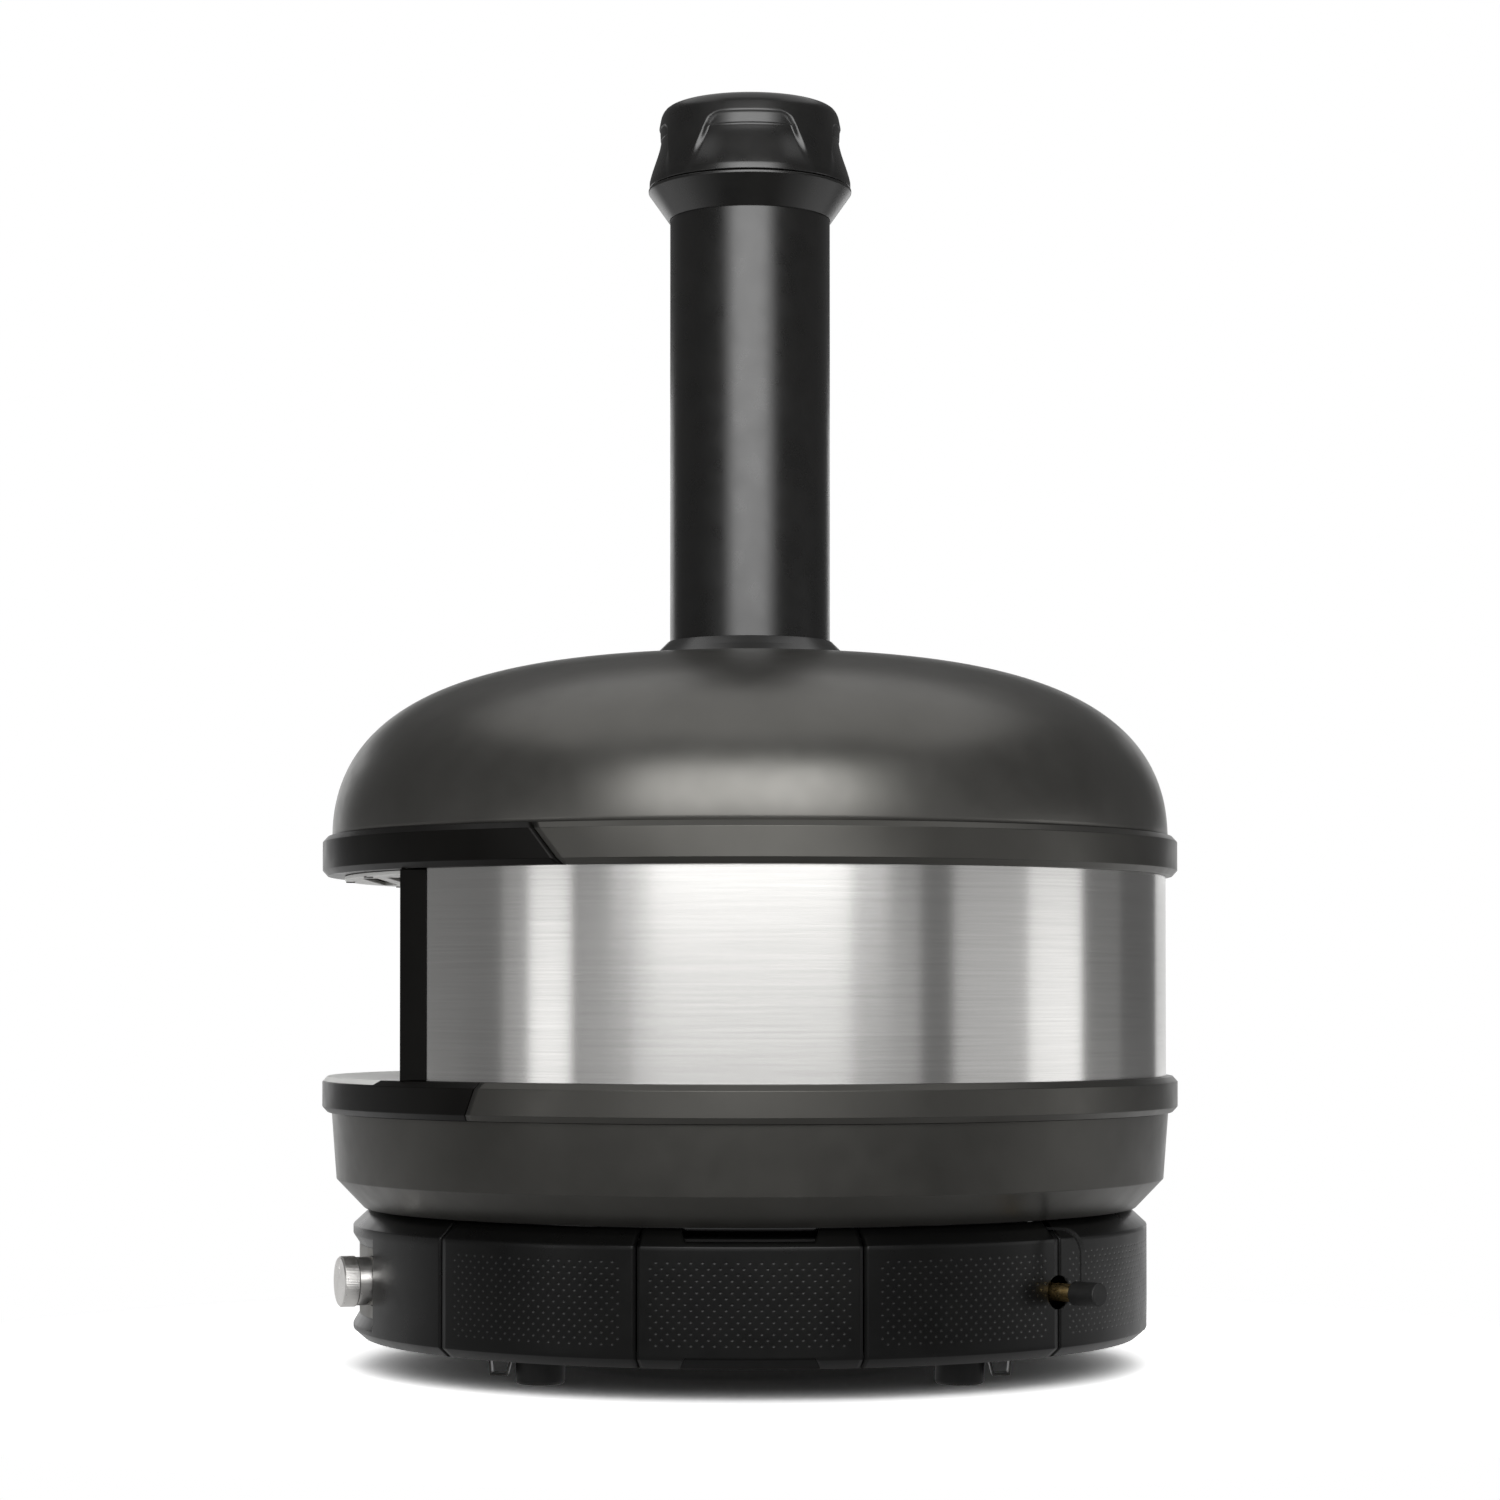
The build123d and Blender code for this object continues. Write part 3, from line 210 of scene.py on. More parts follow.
def polish_dimples(material, rough, ior):
    """A glossier coat where the attribute dimple is 1, so that each dimple catches a point of light."""
    tree = material.node_tree
    output = next(node for node in tree.nodes if node.type == "OUTPUT_MATERIAL")
    plain = output.inputs[0].links[0].from_node
    colour = plain.inputs["Base Color"].links[0].from_socket
    gloss = add(tree, "BsdfPrincipled", {"Base Color": colour, "Roughness": rough, "IOR": ior})
    share = add(tree, "Attribute", attribute_name="dimple").outputs["Fac"]
    mix = add(tree, "MixShader", {"Fac": share, 1: plain.outputs[0], 2: gloss.outputs[0]})
    tree.links.new(mix.outputs[0], output.inputs[0])


def brushed(name, low, high, rough):
    """Steel brushed level round the body: fine level lines that draw each reflection out upright."""
    line, length, relief = 0.35, 90.0, 0.00035
    material, tree, place = new_material(name)
    along = length / line
    lines = noise(tree, place, line, 3.0, (along, along, 1))
    wide = noise(tree, place, line * 4, 2.0, (along / 3, along / 3, 1))
    bump = add(tree, "Bump", {"Height": lines, "Distance": relief * MM, "Strength": 1.0})
    upward = add(tree, "CombineXYZ", {2: 1.0})
    shader = add(tree, "BsdfPrincipled", {
        "Base Color": blend_colours(tree, wide, low, high),
        "Roughness": between(tree, lines, rough[0], rough[1]),
        "Metallic": 1.0,
        "Anisotropic": 0.75,
        "Tangent": upward.outputs[0],
        "Normal": bump.outputs[0],
    })
    add(tree, "OutputMaterial", {"Surface": shader.outputs[0]})
    return material


def make_materials():
    """One finish for each of the record's slots."""
    return {
        # Satin black powder coat: nearly black, with a faint sheen on the chamfers
        "skirt_paint": coat("satin_black_powder_coat", "#060606", "#0a0a09", (0.27, 0.33), ior=1.31),
        # The same coat inside the base, a little duller
        "pan_paint": coat("dull_black_powder_coat", "#050505", "#0a0a09", (0.5, 0.6), ior=1.25),
        # Moulded rubber: matt, with a fine grain
        "foot_rubber": coat("moulded_black_rubber", "#0f0f0f", "#171716", (0.6, 0.75), peel=(0.5, 0.01)),
        # Plain zinc-coated sheet: grey with cloudy spangle
        "zinc_steel": coat("zinc_coated_steel", "#383837", "#4a4a48", (0.3, 0.45), 9.0, metal=1.0),
        # Gloss black: clear reflections on the disc's edge
        "shield_gloss": coat("gloss_black_enamel", "#0b0b0b", "#121212", (0.1, 0.16)),
        # Metallic charcoal: grey with a broad soft highlight
        "charcoal_paint": coat("charcoal_metallic_paint", "#4a4946", "#504f4c", (0.33, 0.38), metal=0.85),
        # Dome enamel: the same charcoal, smoother, so that its highlight has a soft edge
        "dome_enamel": coat("charcoal_dome_enamel", "#5a5956", "#605f5c", (0.31, 0.36), metal=0.85,
                            peel=(1.2, 0.003)),
        # Satin black paint of the mouth's frame and visor: warm black
        "black_paint": coat("satin_black_paint", "#050403", "#0a0907", (0.3, 0.36), ior=1.24),
        # Light grey satin paint of the shelf and soffit: even and bright
        "grey_paint": coat("light_grey_satin_paint", "#d2d2cf", "#dbdbd8", (0.4, 0.5)),
        # Brushed stainless wall: fine level lines, upright reflections
        "band_steel": brushed("brushed_stainless_wall", "#c9c8c6", "#d0cfcd", (0.18, 0.22)),
        # Heat-stained sheet inside the chamber
        "lining_steel": coat("lining_sheet", "#7d7872", "#9a958e", (0.38, 0.55), 40.0, metal=1.0),
        # Flue: satin black enamel with a broad upright highlight
        "flue_paint": coat("satin_black_flue_enamel", "#0a0a09", "#0f0e0d", (0.26, 0.32), ior=1.6),
        # Baking stone: pale, speckled and rough
        "stone": coat("cordierite_stone", "#a99a80", "#c9bda5", (0.8, 0.95), 2.5, peel=(0.8, 0.08)),
        # Ceramic blanket: white and fibrous
        "blanket": coat("ceramic_fibre_blanket", "#cfcbc2", "#e6e3dc", (0.9, 1.0), 6.0, peel=(1.5, 0.3)),
        # Satin aluminium knob: bright face, soft highlight
        "knob_metal": coat("satin_aluminium", "#e2e0dd", "#eeece9", (0.27, 0.33), 14.0, metal=1.0,
                           peel=(3.0, 0.001)),
        # Grey satin paint of the plate behind the knob: flat and plain
        "bezel_grey": coat("mid_grey_paint", "#706e6a", "#7c7a75", (0.4, 0.5)),
        # Brass fitting: yellow metal, lightly tarnished
        "brass": coat("turned_brass", "#b89a62", "#d2b882", (0.25, 0.4), 5.0, metal=1.0),
        # Rubber cap and tether: matt black with a light bloom
        "cap_rubber": coat("soft_black_rubber", "#060606", "#0d0d0c", (0.5, 0.62), 12.0, peel=(0.4, 0.01)),
        # Igniter rod: white glazed ceramic
        "igniter_ceramic": coat("glazed_ceramic", "#d9d6cd", "#ebe8e1", (0.15, 0.3), 8.0),
    }


def rounded(corners, steps):
    """A profile with round corners. Each row is radius, height and the corner's own radius R.

    The arc's centre is p + (u + v) / |u + v| * R / sin(a / 2), where u and v run from the corner
    along its two edges, a is the angle between them, and the arc starts R / tan(a / 2) along u.
    """
    corners = np.array(corners, float)
    points = []
    count = len(corners)
    for index in range(count):
        place = corners[index, :2]
        before = corners[index - 1, :2] - place
        after = corners[(index + 1) % count, :2] - place
        radius = corners[index, 2]
        if radius <= 0:
            points.append(place)
            continue
        lengths = np.linalg.norm(before), np.linalg.norm(after)
        u, v = before / lengths[0], after / lengths[1]
        half = math.acos(float(np.clip(u @ v, -1, 1))) / 2
        cut = min(radius / math.tan(half), 0.45 * lengths[0], 0.45 * lengths[1])
        radius = cut * math.tan(half)
        centre = place + (u + v) / np.linalg.norm(u + v) * radius / math.sin(half)
        start, end = place + u * cut - centre, place + v * cut - centre
        sweep = math.pi - 2 * half
        for share in np.linspace(0, 1, steps + 1):
            points.append(centre + (math.sin((1 - share) * sweep) * start + math.sin(share * sweep) * end)
                          / math.sin(sweep))
    return np.array(points)


def even_shading(piece):
    """Shades each flat face flat up to its round edges."""
    shading = piece.modifiers.new("even shading", "WEIGHTED_NORMAL")
    shading.weight = 80


def make_piece(name, points, faces, node):
    """A mesh from whole arrays of points in millimetres and faces, welded, facing outward, on its body."""
    mesh = bpy.data.meshes.new(name)
    corners = np.concatenate([part.ravel() for part in faces]).astype(np.int32)
    counts = np.concatenate([np.full(len(part), part.shape[1]) for part in faces])
    mesh.vertices.add(len(points))
    mesh.vertices.foreach_set("co", (np.asarray(points) * MM).astype(np.float32).ravel())
    mesh.loops.add(len(corners))
    mesh.loops.foreach_set("vertex_index", corners)
    mesh.polygons.add(len(counts))
    mesh.polygons.foreach_set("loop_start", (np.cumsum(counts) - counts).astype(np.int32))
    mesh.update(calc_edges=True)
    shape = bmesh.new()
    shape.from_mesh(mesh)
    bmesh.ops.remove_doubles(shape, verts=shape.verts, dist=2e-6)
    bmesh.ops.dissolve_degenerate(shape, dist=1e-7, edges=shape.edges)
    bmesh.ops.recalc_face_normals(shape, faces=shape.faces)
    shape.to_mesh(mesh)
    shape.free()
    mesh.polygons.foreach_set("use_smooth", np.ones(len(mesh.polygons), bool))
    piece = bpy.data.objects.new(name, mesh)
    bpy.context.scene.collection.objects.link(piece)
    dress(piece, slots[node])
    even_shading(piece)
    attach(piece, body_of_node[node])
    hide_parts(node)
    return piece


def dress(piece, slot):
    """Gives a piece the finish of one slot."""
    piece.data.materials.clear()
    piece.data.materials.append(materials[slot])


def grid_faces(rows, columns):
    """The quads between neighbouring rows and columns of a grid of points."""
    index = np.arange(rows * columns).reshape(rows, columns)
    quads = [index[:-1, :-1], index[1:, :-1], index[1:, 1:], index[:-1, 1:]]
    return np.stack([part.ravel() for part in quads], axis=1)


def turned_points(profile, start, end, steps):
    """Points (r cos a, r sin a, z) of a profile (r, z) carried from a = start to a = end, in degrees.

    start and end may differ from one point of the profile to the next, which makes a leaning seam.
    """
    profile = np.vstack([profile, profile[:1]])
    start = np.broadcast_to(np.append(start, start[0]) if np.ndim(start) else start, len(profile))
    end = np.broadcast_to(np.append(end, end[0]) if np.ndim(end) else end, len(profile))
    share = np.linspace(0, 1, steps + 1)[:, None]
    angle = np.radians(start + (end - start) * share)
    radius = profile[:, 0] + 0 * angle
    height = profile[:, 1] + 0 * angle
    return np.stack([radius * np.cos(angle), radius * np.sin(angle), height], axis=-1)


def turned(name, profile, node, start=0.0, end=360.0, steps=360, place=None, shape=None):
    """A closed profile carried round the flue's axis, or round another axis if place moves it.

    shape, if given, changes the grid of points before place does.
    """
    grid = turned_points(profile, start, end, steps)
    if shape:
        grid = shape(grid)
    rows, columns = grid.shape[:2]
    faces = [grid_faces(rows, columns)]
    if np.ndim(start) or np.ndim(end) or end - start < 360:
        ends = np.arange(rows * columns).reshape(rows, columns)[[0, -1], :-1]
        faces.append(ends)
    points = grid.reshape(-1, 3)
    if place:
        points = place(points)
    return make_piece(name, points, faces, node)


def facing_out(azimuth):
    """Moves points whose z is a distance from the flue's axis onto a level line that points outward.

    The line lies at the height of the gas train, where the knob and the inlet are.
    """
    angle = math.radians(azimuth)
    across = np.array([-math.sin(angle), math.cos(angle), 0])
    up = np.array([0, 0, 1.0])
    out = np.array([math.cos(angle), math.sin(angle), 0])

    def move(points):
        return points @ np.array([across, up, out]) + up * GAS_HEIGHT

    return move


def carve(piece, cutters):
    """Cuts boxes or rods out of a piece for good."""
    piece.modifiers.clear()
    for cutter in reversed(cutters):
        cut = piece.modifiers.new("cut", "BOOLEAN")
        cut.object = cutter
        cut.solver = "EXACT"
    bpy.context.view_layer.update()
    solved = piece.evaluated_get(bpy.context.evaluated_depsgraph_get())
    mesh = bpy.data.meshes.new_from_object(solved)
    piece.modifiers.clear()
    piece.data = mesh
    for cutter in cutters:
        bpy.data.objects.remove(cutter)
    even_shading(piece)


def cutter_from(points, faces):
    """A closed solid that only cuts other pieces."""
    mesh = bpy.data.meshes.new("cutter")
    mesh.from_pydata((np.asarray(points) * MM).tolist(), [], faces)
    shape = bmesh.new()
    shape.from_mesh(mesh)
    bmesh.ops.remove_doubles(shape, verts=shape.verts, dist=1e-6)
    bmesh.ops.recalc_face_normals(shape, faces=shape.faces)
    shape.to_mesh(mesh)
    shape.free()
    cutter = bpy.data.objects.new("cutter", mesh)
    bpy.context.scene.collection.objects.link(cutter)
    return cutter


def rod_cutter(radius, near, far, place, sides=96):
    """A cutter in the shape of a rod along an outward line."""
    angle = np.linspace(0, 2 * math.pi, sides, endpoint=False)
    ring = np.stack([radius * np.cos(angle), radius * np.sin(angle)], axis=1)
    points = np.vstack([np.column_stack([ring, np.full(sides, d)]) for d in (near, far)])
    index = list(range(sides))
    faces = [index, [i + sides for i in index]]
    faces += [[i, (i + 1) % sides, (i + 1) % sides + sides, i + sides] for i in index]
    return cutter_from(place(points), faces)


def box_cutter(low, high, place):
    """A cutter in the shape of a box between two corners."""
    x, y, z = zip(low, high)
    points = np.array([(a, b, c) for a in x for b in y for c in z], float)
    faces = [[0, 1, 3, 2], [4, 6, 7, 5], [0, 4, 5, 1], [2, 3, 7, 6], [0, 2, 6, 4], [1, 5, 7, 3]]
    return cutter_from(place(points), faces)


def make_flue():
    """The flue's pipe, the funnel at its top and the socket that it stands in."""
    bore = FLUE - 1.5
    foot, top = 525.1, 909.3
    turned("flue_tube", rounded([
        (bore, foot, 0.3), (FLUE, foot, 0.3), (FLUE, top, 0.4), (bore, top, 0.4),
    ], 3), "flue_pipe", steps=180)
    bore, neck = FLUE + 0.2, FLUE + 1.4
    foot, rim = 888.0, 911.8
    turned("flue_funnel", rounded([
        (bore, foot, 0.2), (neck, foot, 0.3), (COLLAR, rim - 2, 1.5), (COLLAR, rim, 0.5),
        (COLLAR - 1.2, rim, 0.3), (COLLAR - 1.2, rim - 1.4, 0.2), (bore, rim - 1.4, 0.2),
    ], 3), "flue_collar", steps=180)
    ledge, bore, neck, flare = 58.5, FLUE + 0.3, FLUE + 1.6, 78.0
    foot, base, top = 522.7, ROOF + 0.2, 559.2
    turned("socket_flare", rounded([
        (ledge, foot, 0.2), (neck, foot, 0.3), (neck, base, 0.0), (flare, base, 0.3),
        (flare - 8, base + 7.2, 4.0), (neck, top, 0.5), (bore, top, 0.5), (bore, foot + 2, 0.2),
        (ledge, foot + 2, 0.2),
    ], 5), "flue_socket", steps=180)


def cap_sections():
    """Rows of the cap from its top to its foot: radius and height of the wall, then of a recess.

    Each recess has a lip, a shallow cove under it and a dished floor. The floor's radius is a cubic in
    u = (cove - z) / floor_drop, which starts steep, flares and ends upright.
    """
    crown = [
        (0, 0), (45, 0), (60.5, 0), (62.0, 0.05), (63.3, 0.3), (64.8, 0.9), (66.2, 1.9), (67.4, 3.4),
        (68.3, 5.0), (68.95, 6.6), (69.35, 8.1), (69.88, 10.8), (70.37, 13.3),
    ]
    lip_and_cove = [
        (960.5, 70.55, 960.5), (959.6, 70.5, 959.6), (958.8, 70.28, 958.8), (958.0, 70.06, 958.0),
        (957.0, 69.93, 957.0), (955.5, 69.86, 955.5), (953.5, 69.8, 953.5), (951.8, 69.75, 951.8),
        (951.0, 69.7, 951.0), (950.6, 69.65, 950.5), (950.3, 69.55, 950.1), (950.0, 69.4, 949.8),
        (949.6, 69.3, 949.4), (949.2, 69.25, 949.0), (948.8, 69.25, 948.6), (948.4, 69.3, 948.3),
    ]
    cove, floor_drop, floor_radius, floor_flare = 948.0, 29.5, 69.4, 8.6
    rows = [(radius, CAP_TOP - drop) * 2 for radius, drop in crown]
    rows += [(cap_wall_radius(wall), wall, radius, height) for wall, radius, height in lip_and_cove]
    for height in np.linspace(cove - 0.2, cove - floor_drop, 22):
        u = (cove - height) / floor_drop
        share = 0.5 * (u ** 3 - 2 * u ** 2 + u) + 3 * u ** 2 - 2 * u ** 3 + 0.75 * (u ** 3 - u ** 2)
        rows.append((cap_wall_radius(height), height, floor_radius + floor_flare * share, height))
    rows += [
        (79.0, 917.4, 78.15, 917.8), (79.0, 916.5, 78.25, 916.8), (79.0, 915.0, 78.3, 915.2),
        (79.0, 913.6, 78.3, 913.6), (78.85, 913.0, 78.1, 913.0), (78.4, CAP_FOOT, 77.7, CAP_FOOT),
    ]
    spigot, spigot_foot, bore, drum, ceiling = 60.2, 893.3, 59.0, 65.2, 970.0
    inside = [
        (spigot, CAP_FOOT), (spigot, spigot_foot + 0.2), (spigot - 0.3, spigot_foot),
        (bore + 0.2, spigot_foot), (bore, spigot_foot + 0.2), (bore, CAP_FOOT + 1.2),
        (drum, CAP_FOOT + 1.2), (drum, ceiling - 24), (drum - 4, ceiling - 20), (drum - 4, ceiling),
        (0, ceiling),
    ]
    return np.array(rows + [place * 2 for place in inside])


def cap_wall_radius(height):
    """Radius of the cap's slanted side, which grows by 10 mm over the 51 mm below its top edge."""
    return 69.0 + (968.5 - height) * 10 / 51


def make_cap():
    """The weather cap: a tapered drum with a recess on each side.

    The two sections are mixed by a smooth step of 0.5 - d / w, where d is the distance in millimetres
    outside the recess's outline: a trapezoid whose upper corners have radius 9. The width w is 2.8
    at the top and grows to 7 lower down, where the recess's edges fade.
    """
    outline_top, outline_half, corner = 959.3, 32.5, 9.0
    mean_radius, narrow_height, flare = 75, 957.6, 13.5 / 44.9
    rows = cap_sections()
    angle = np.radians(np.linspace(0, 360, 721))[:, None]
    quarter = np.mod(angle + math.pi / 4, math.pi / 2) - math.pi / 4
    aside = np.abs(mean_radius * np.sin(quarter))
    height = rows[None, :, 1]
    half = outline_half + (narrow_height - height) * flare
    beyond = (aside - half) * math.cos(math.atan(flare)) + corner
    above = height - outline_top + corner
    round_gap = np.hypot(np.maximum(beyond, 0), np.maximum(above, 0))
    gap = round_gap + np.minimum(np.maximum(beyond, above), 0) - corner
    width = 2.8 + 4.2 * np.clip((944 - height) / 16, 0, 1)
    step = np.clip(0.5 - gap / width, 0, 1)
    mix = step * step * (3 - 2 * step)
    radius = rows[:, 0] + (rows[:, 2] - rows[:, 0]) * mix
    level = rows[:, 1] + (rows[:, 3] - rows[:, 1]) * mix
    grid = np.stack([radius * np.cos(angle), radius * np.sin(angle), level], axis=-1)
    make_piece("cap_drum", grid.reshape(-1, 3), [grid_faces(*grid.shape[:2])], "flue_cap")


def dome_profile():
    """The dome's section: a cubic curve from the upper ring to the flat top, and its inner face."""
    sheet, socket_hole = 1.5, 73.0
    share = np.linspace(0, 1, 65)[:, None]
    poles = np.array([(DOME, RING_TOP), (DOME, 484.45), (260.2, ROOF), (FLUE, ROOF)])
    weights = [(1 - share) ** 3, 3 * share * (1 - share) ** 2, 3 * share ** 2 * (1 - share), share ** 3]
    curve = sum(weight * pole for weight, pole in zip(weights, poles))
    outer = curve[curve[:, 0] > socket_hole]
    slope = np.gradient(outer, axis=0)
    normal = np.stack([-slope[:, 1], slope[:, 0]], axis=1)
    normal /= np.linalg.norm(normal, axis=1)[:, None]
    inner = outer + normal * sheet
    inner[0] = (DOME - sheet, RING_TOP)
    return np.vstack([outer, inner[::-1]])


def ring_profile(bottom, top, bore, flange=3.0):
    """A trim ring's section: a channel open towards the flue, with two chamfers outside."""
    inset, rise, web = 3.8, 4.2, 3.0
    neck = RING - 4.9
    return rounded([
        (RING - inset, bottom, 0.5), (RING, bottom + rise, 0.9), (RING, top - rise, 0.9),
        (RING - inset, top, 0.5), (bore, top, 0.3), (bore, top - flange, 0.3), (neck, top - flange, 0.2),
        (RING - web, top - flange - 1.5, 0.2), (RING - web, bottom + 5.1, 0.2), (neck, bottom + web, 0.2),
        (bore, bottom + web, 0.3), (bore, bottom, 0.3),
    ], 4)


def seam_angle(profile, half, lean, gap=0.0):
    """How many degrees from the mouth's middle a leaning seam lies, at each point of a profile."""
    middle = (profile[:, 1].min() + profile[:, 1].max()) / 2
    slip = (profile[:, 1] - middle) * math.tan(math.radians(lean)) + gap
    return half + np.degrees(slip / RING)


def make_body():
    """Bowl, trim rings, wall and dome."""
    make_bowl()
    make_rings()
    wall_inside, wall_end = WALL - 1.2, 46.25
    turned("wall_band", rounded([
        (wall_inside, WALL_FOOT, 0.2), (WALL, WALL_FOOT, 0.3), (WALL, WALL_TOP, 0.3),
        (wall_inside, WALL_TOP, 0.2),
    ], 2), "steel_band", -wall_end, 180 + wall_end, 300)
    turned("dome_shell", dome_profile(), "outer_dome")
    disc = 286.0
    turned("gloss_disc", rounded([
        (0, DISC_FOOT, 0), (disc, DISC_FOOT, 0.8), (disc, BOWL_FOOT, 0.8), (0, BOWL_FOOT, 0),
    ], 4), "heat_shield_disc", steps=240)


def make_bowl():
    """The bowl: a flat floor, a steep chamfer, a nearly upright side and a rim turned inward."""
    sheet = 2.0
    floor, knee, side, lip = 298.0, 319.0, 322.8, 305.8
    knee_height, top = 145.0, LOWER_RING_FOOT
    turned("bowl_shell", rounded([
        (0, BOWL_FOOT, 0), (floor, BOWL_FOOT, 1.2), (knee, knee_height, 1.5), (side, top, 0.6),
        (lip, top, 0.4), (lip, top - sheet, 0.3), (side - sheet, top - sheet, 0.3),
        (knee - sheet, knee_height, 0.5), (floor - sheet, BOWL_FOOT + sheet, 0.5), (0, BOWL_FOOT + sheet, 0),
    ], 5), "bowl")


def make_rings():
    """The rear segments of both trim rings and the visor, which meet at leaning seams 1 mm wide."""
    seam = 1.0
    lower_half, lower_lean = 53.0, 24.0
    lower = ring_profile(LOWER_RING_FOOT, WALL_FOOT, 305.0, 6.5)
    away = seam_angle(lower, lower_half, lower_lean, seam)
    turned("lower_trim_rear", lower, "lower_ring_rear", -90 + away, 270 - away, 300)
    visor_half, visor_lean = 64.2, -40.0
    upper = ring_profile(WALL_TOP, RING_TOP, 308.0)
    half = seam_angle(upper, visor_half, visor_lean)
    turned("visor", upper, "upper_ring_visor", -90 - half, -90 + half, 140)
    away = seam_angle(upper, visor_half, visor_lean, seam)
    turned("upper_trim_rear", upper, "upper_ring_rear", -90 + away, 270 - away, 260)


def dimple_columns(start, end, reach):
    """Azimuths of the grid's columns on a dimpled panel: five across each column of dimples."""
    middle = (start + end) / 2
    step = math.degrees(DIMPLE_PITCH / 2 / SKIRT)
    count = int(reach / step)
    marks = middle + step * np.arange(-count, count + 1)
    fan = np.degrees(np.array([-1.3, -0.65, 0, 0.65, 1.3]) / SKIRT)
    edge = np.linspace(start, marks[0] - step / 2, 4)
    return np.concatenate([edge, (marks[:, None] + fan).ravel(), 2 * middle - edge[::-1]])


def dimple_rows():
    """Heights of the grid's rows on a dimpled panel: five across each row of dimples."""
    heights = DIMPLE_FOOT + DIMPLE_RISE * np.arange(DIMPLE_ROWS)
    fan = np.array([-1.15, -0.6, 0, 0.6, 1.15])
    return np.concatenate([[34.5, 36.5], (heights[:, None] + fan).ravel(), [104.0, 107.0]])


def dimple_depth(azimuth, height, middle, reach):
    """How far the face is sunk by dimples in a quincunx of columns 8.25 mm and rows 4.11 mm apart.

    Each one sinks it by 0.12 * (1 + cos(pi * q)), where q is the root of (s / 1.35) ** 2 +
    (h / 0.95) ** 2, with s and h the distances aside and up from the dimple's middle.
    """
    half = math.degrees(DIMPLE_PITCH / 2 / SKIRT)
    level = np.round((height - DIMPLE_FOOT) / DIMPLE_RISE)
    rise = height - DIMPLE_FOOT - level * DIMPLE_RISE
    shift = np.where(np.mod(level, 2) == 1, half, 0.0)
    place = (azimuth - middle - shift) / (2 * half)
    aside = (place - np.round(place)) * DIMPLE_PITCH
    q = np.minimum(np.hypot(aside / 1.35, rise / 0.95), 1)
    within = (level >= 0) & (level < DIMPLE_ROWS) & (np.abs(azimuth - middle) <= reach + half / 4)
    return np.where(within, 0.12 * (1 + np.cos(math.pi * q)), 0.0)


def trough_depth(azimuth, height):
    """How far the front panel is sunk round the knob: 5 mm times the least of three shares of 0 to 1.

    They are (23.6 - a) / 1.6, where a is the angle from the middle of the front, (z - 34.8) / 8.2 and
    (103.5 - z) / 7.5, which gives a flat-bottomed trough with sloping ends and edges.
    """
    ends = (TROUGH_HALF - np.abs(azimuth - FRONT)) / 1.6
    edges = np.minimum((height - 34.8) / 8.2, (103.5 - height) / 7.5)
    return TROUGH_DEPTH * np.clip(np.minimum(ends, edges), 0, 1)


def panel_grid(start, end, notch, reach, trough):
    """Azimuths of a panel's columns and heights of its rows on the upright face."""
    columns = np.linspace(start, end, max(8, int((end - start) / 0.75)))
    rows = np.array([34.5, 104.0])
    if reach:
        columns = dimple_columns(start, end, reach)
        rows = dimple_rows()
    if trough:
        slope = np.linspace(TROUGH_FLOOR_HALF, TROUGH_FLOOR_HALF + 2, 11)
        columns = np.unique(np.concatenate([columns, FRONT - slope, FRONT + slope]))
        rows = np.concatenate([
            np.linspace(34.5, 43.3, 12), np.linspace(47.0, 92.0, 10), np.linspace(95.7, 103.8, 11),
        ])
    if notch:
        ramp_foot = NOTCH_HALF - NOTCH_RAMP
        bends = np.array([ramp_foot, ramp_foot + 0.5, NOTCH_HALF, NOTCH_HALF + 0.5])
        side = np.degrees(np.arcsin(bends / SKIRT))
        middle = (start + end) / 2
        columns = np.unique(np.concatenate([columns, middle - side, middle + side]))
    return columns, rows


def panel_section(columns, rows, middle, notch, trough):
    """Radius and height of a panel's rows: up its outside, over the top edge and down its inside.

    The foot slopes 8 mm out over 7 mm of height, and the shoulder slopes 13 in over 12. A notch lifts
    the foot and lowers the top by 8.5 mm between ramps 5 mm long. The third result counts the rows
    of the outside. A panel with the trough has as many rows inside as outside.
    """
    across = np.abs(SKIRT * np.radians(columns - middle))
    dip = np.clip((NOTCH_HALF - across) / NOTCH_RAMP, 0, 1) * NOTCH_DEPTH * notch
    low = PANEL_FOOT + dip
    top = PANEL_TOP - dip
    whole = np.ones_like(low)
    outside = [
        (np.minimum(SKIRT - 8 + dip * 8 / 7, SKIRT), low),
        (np.where(low > 31, SKIRT, SKIRT - 0.4), np.maximum(31.0, low + 0.1)),
        (SKIRT * whole, np.maximum(31.9, low + 0.2)),
    ]
    outside += [(SKIRT * whole, height * whole) for height in rows]
    outside.append((SKIRT * whole, (PANEL_SHOULDER - 1) * whole))
    outside.append(((SKIRT - 0.5) * whole, PANEL_SHOULDER * whole))
    for share in (0.5, 1.0):
        rise = (top - PANEL_SHOULDER) * share
        outside.append((SKIRT - 0.5 - rise * 13 / 12, PANEL_SHOULDER + rise))
    turning = outside[::-1] if trough else [outside[-1], outside[-3], outside[2], outside[0]]
    section = outside + [(radius - PANEL_SHEET, height) for radius, height in turning]
    radius = np.stack([part[0] for part in section], axis=1)
    height = np.stack([part[1] for part in section], axis=1)
    return radius, height, len(outside)


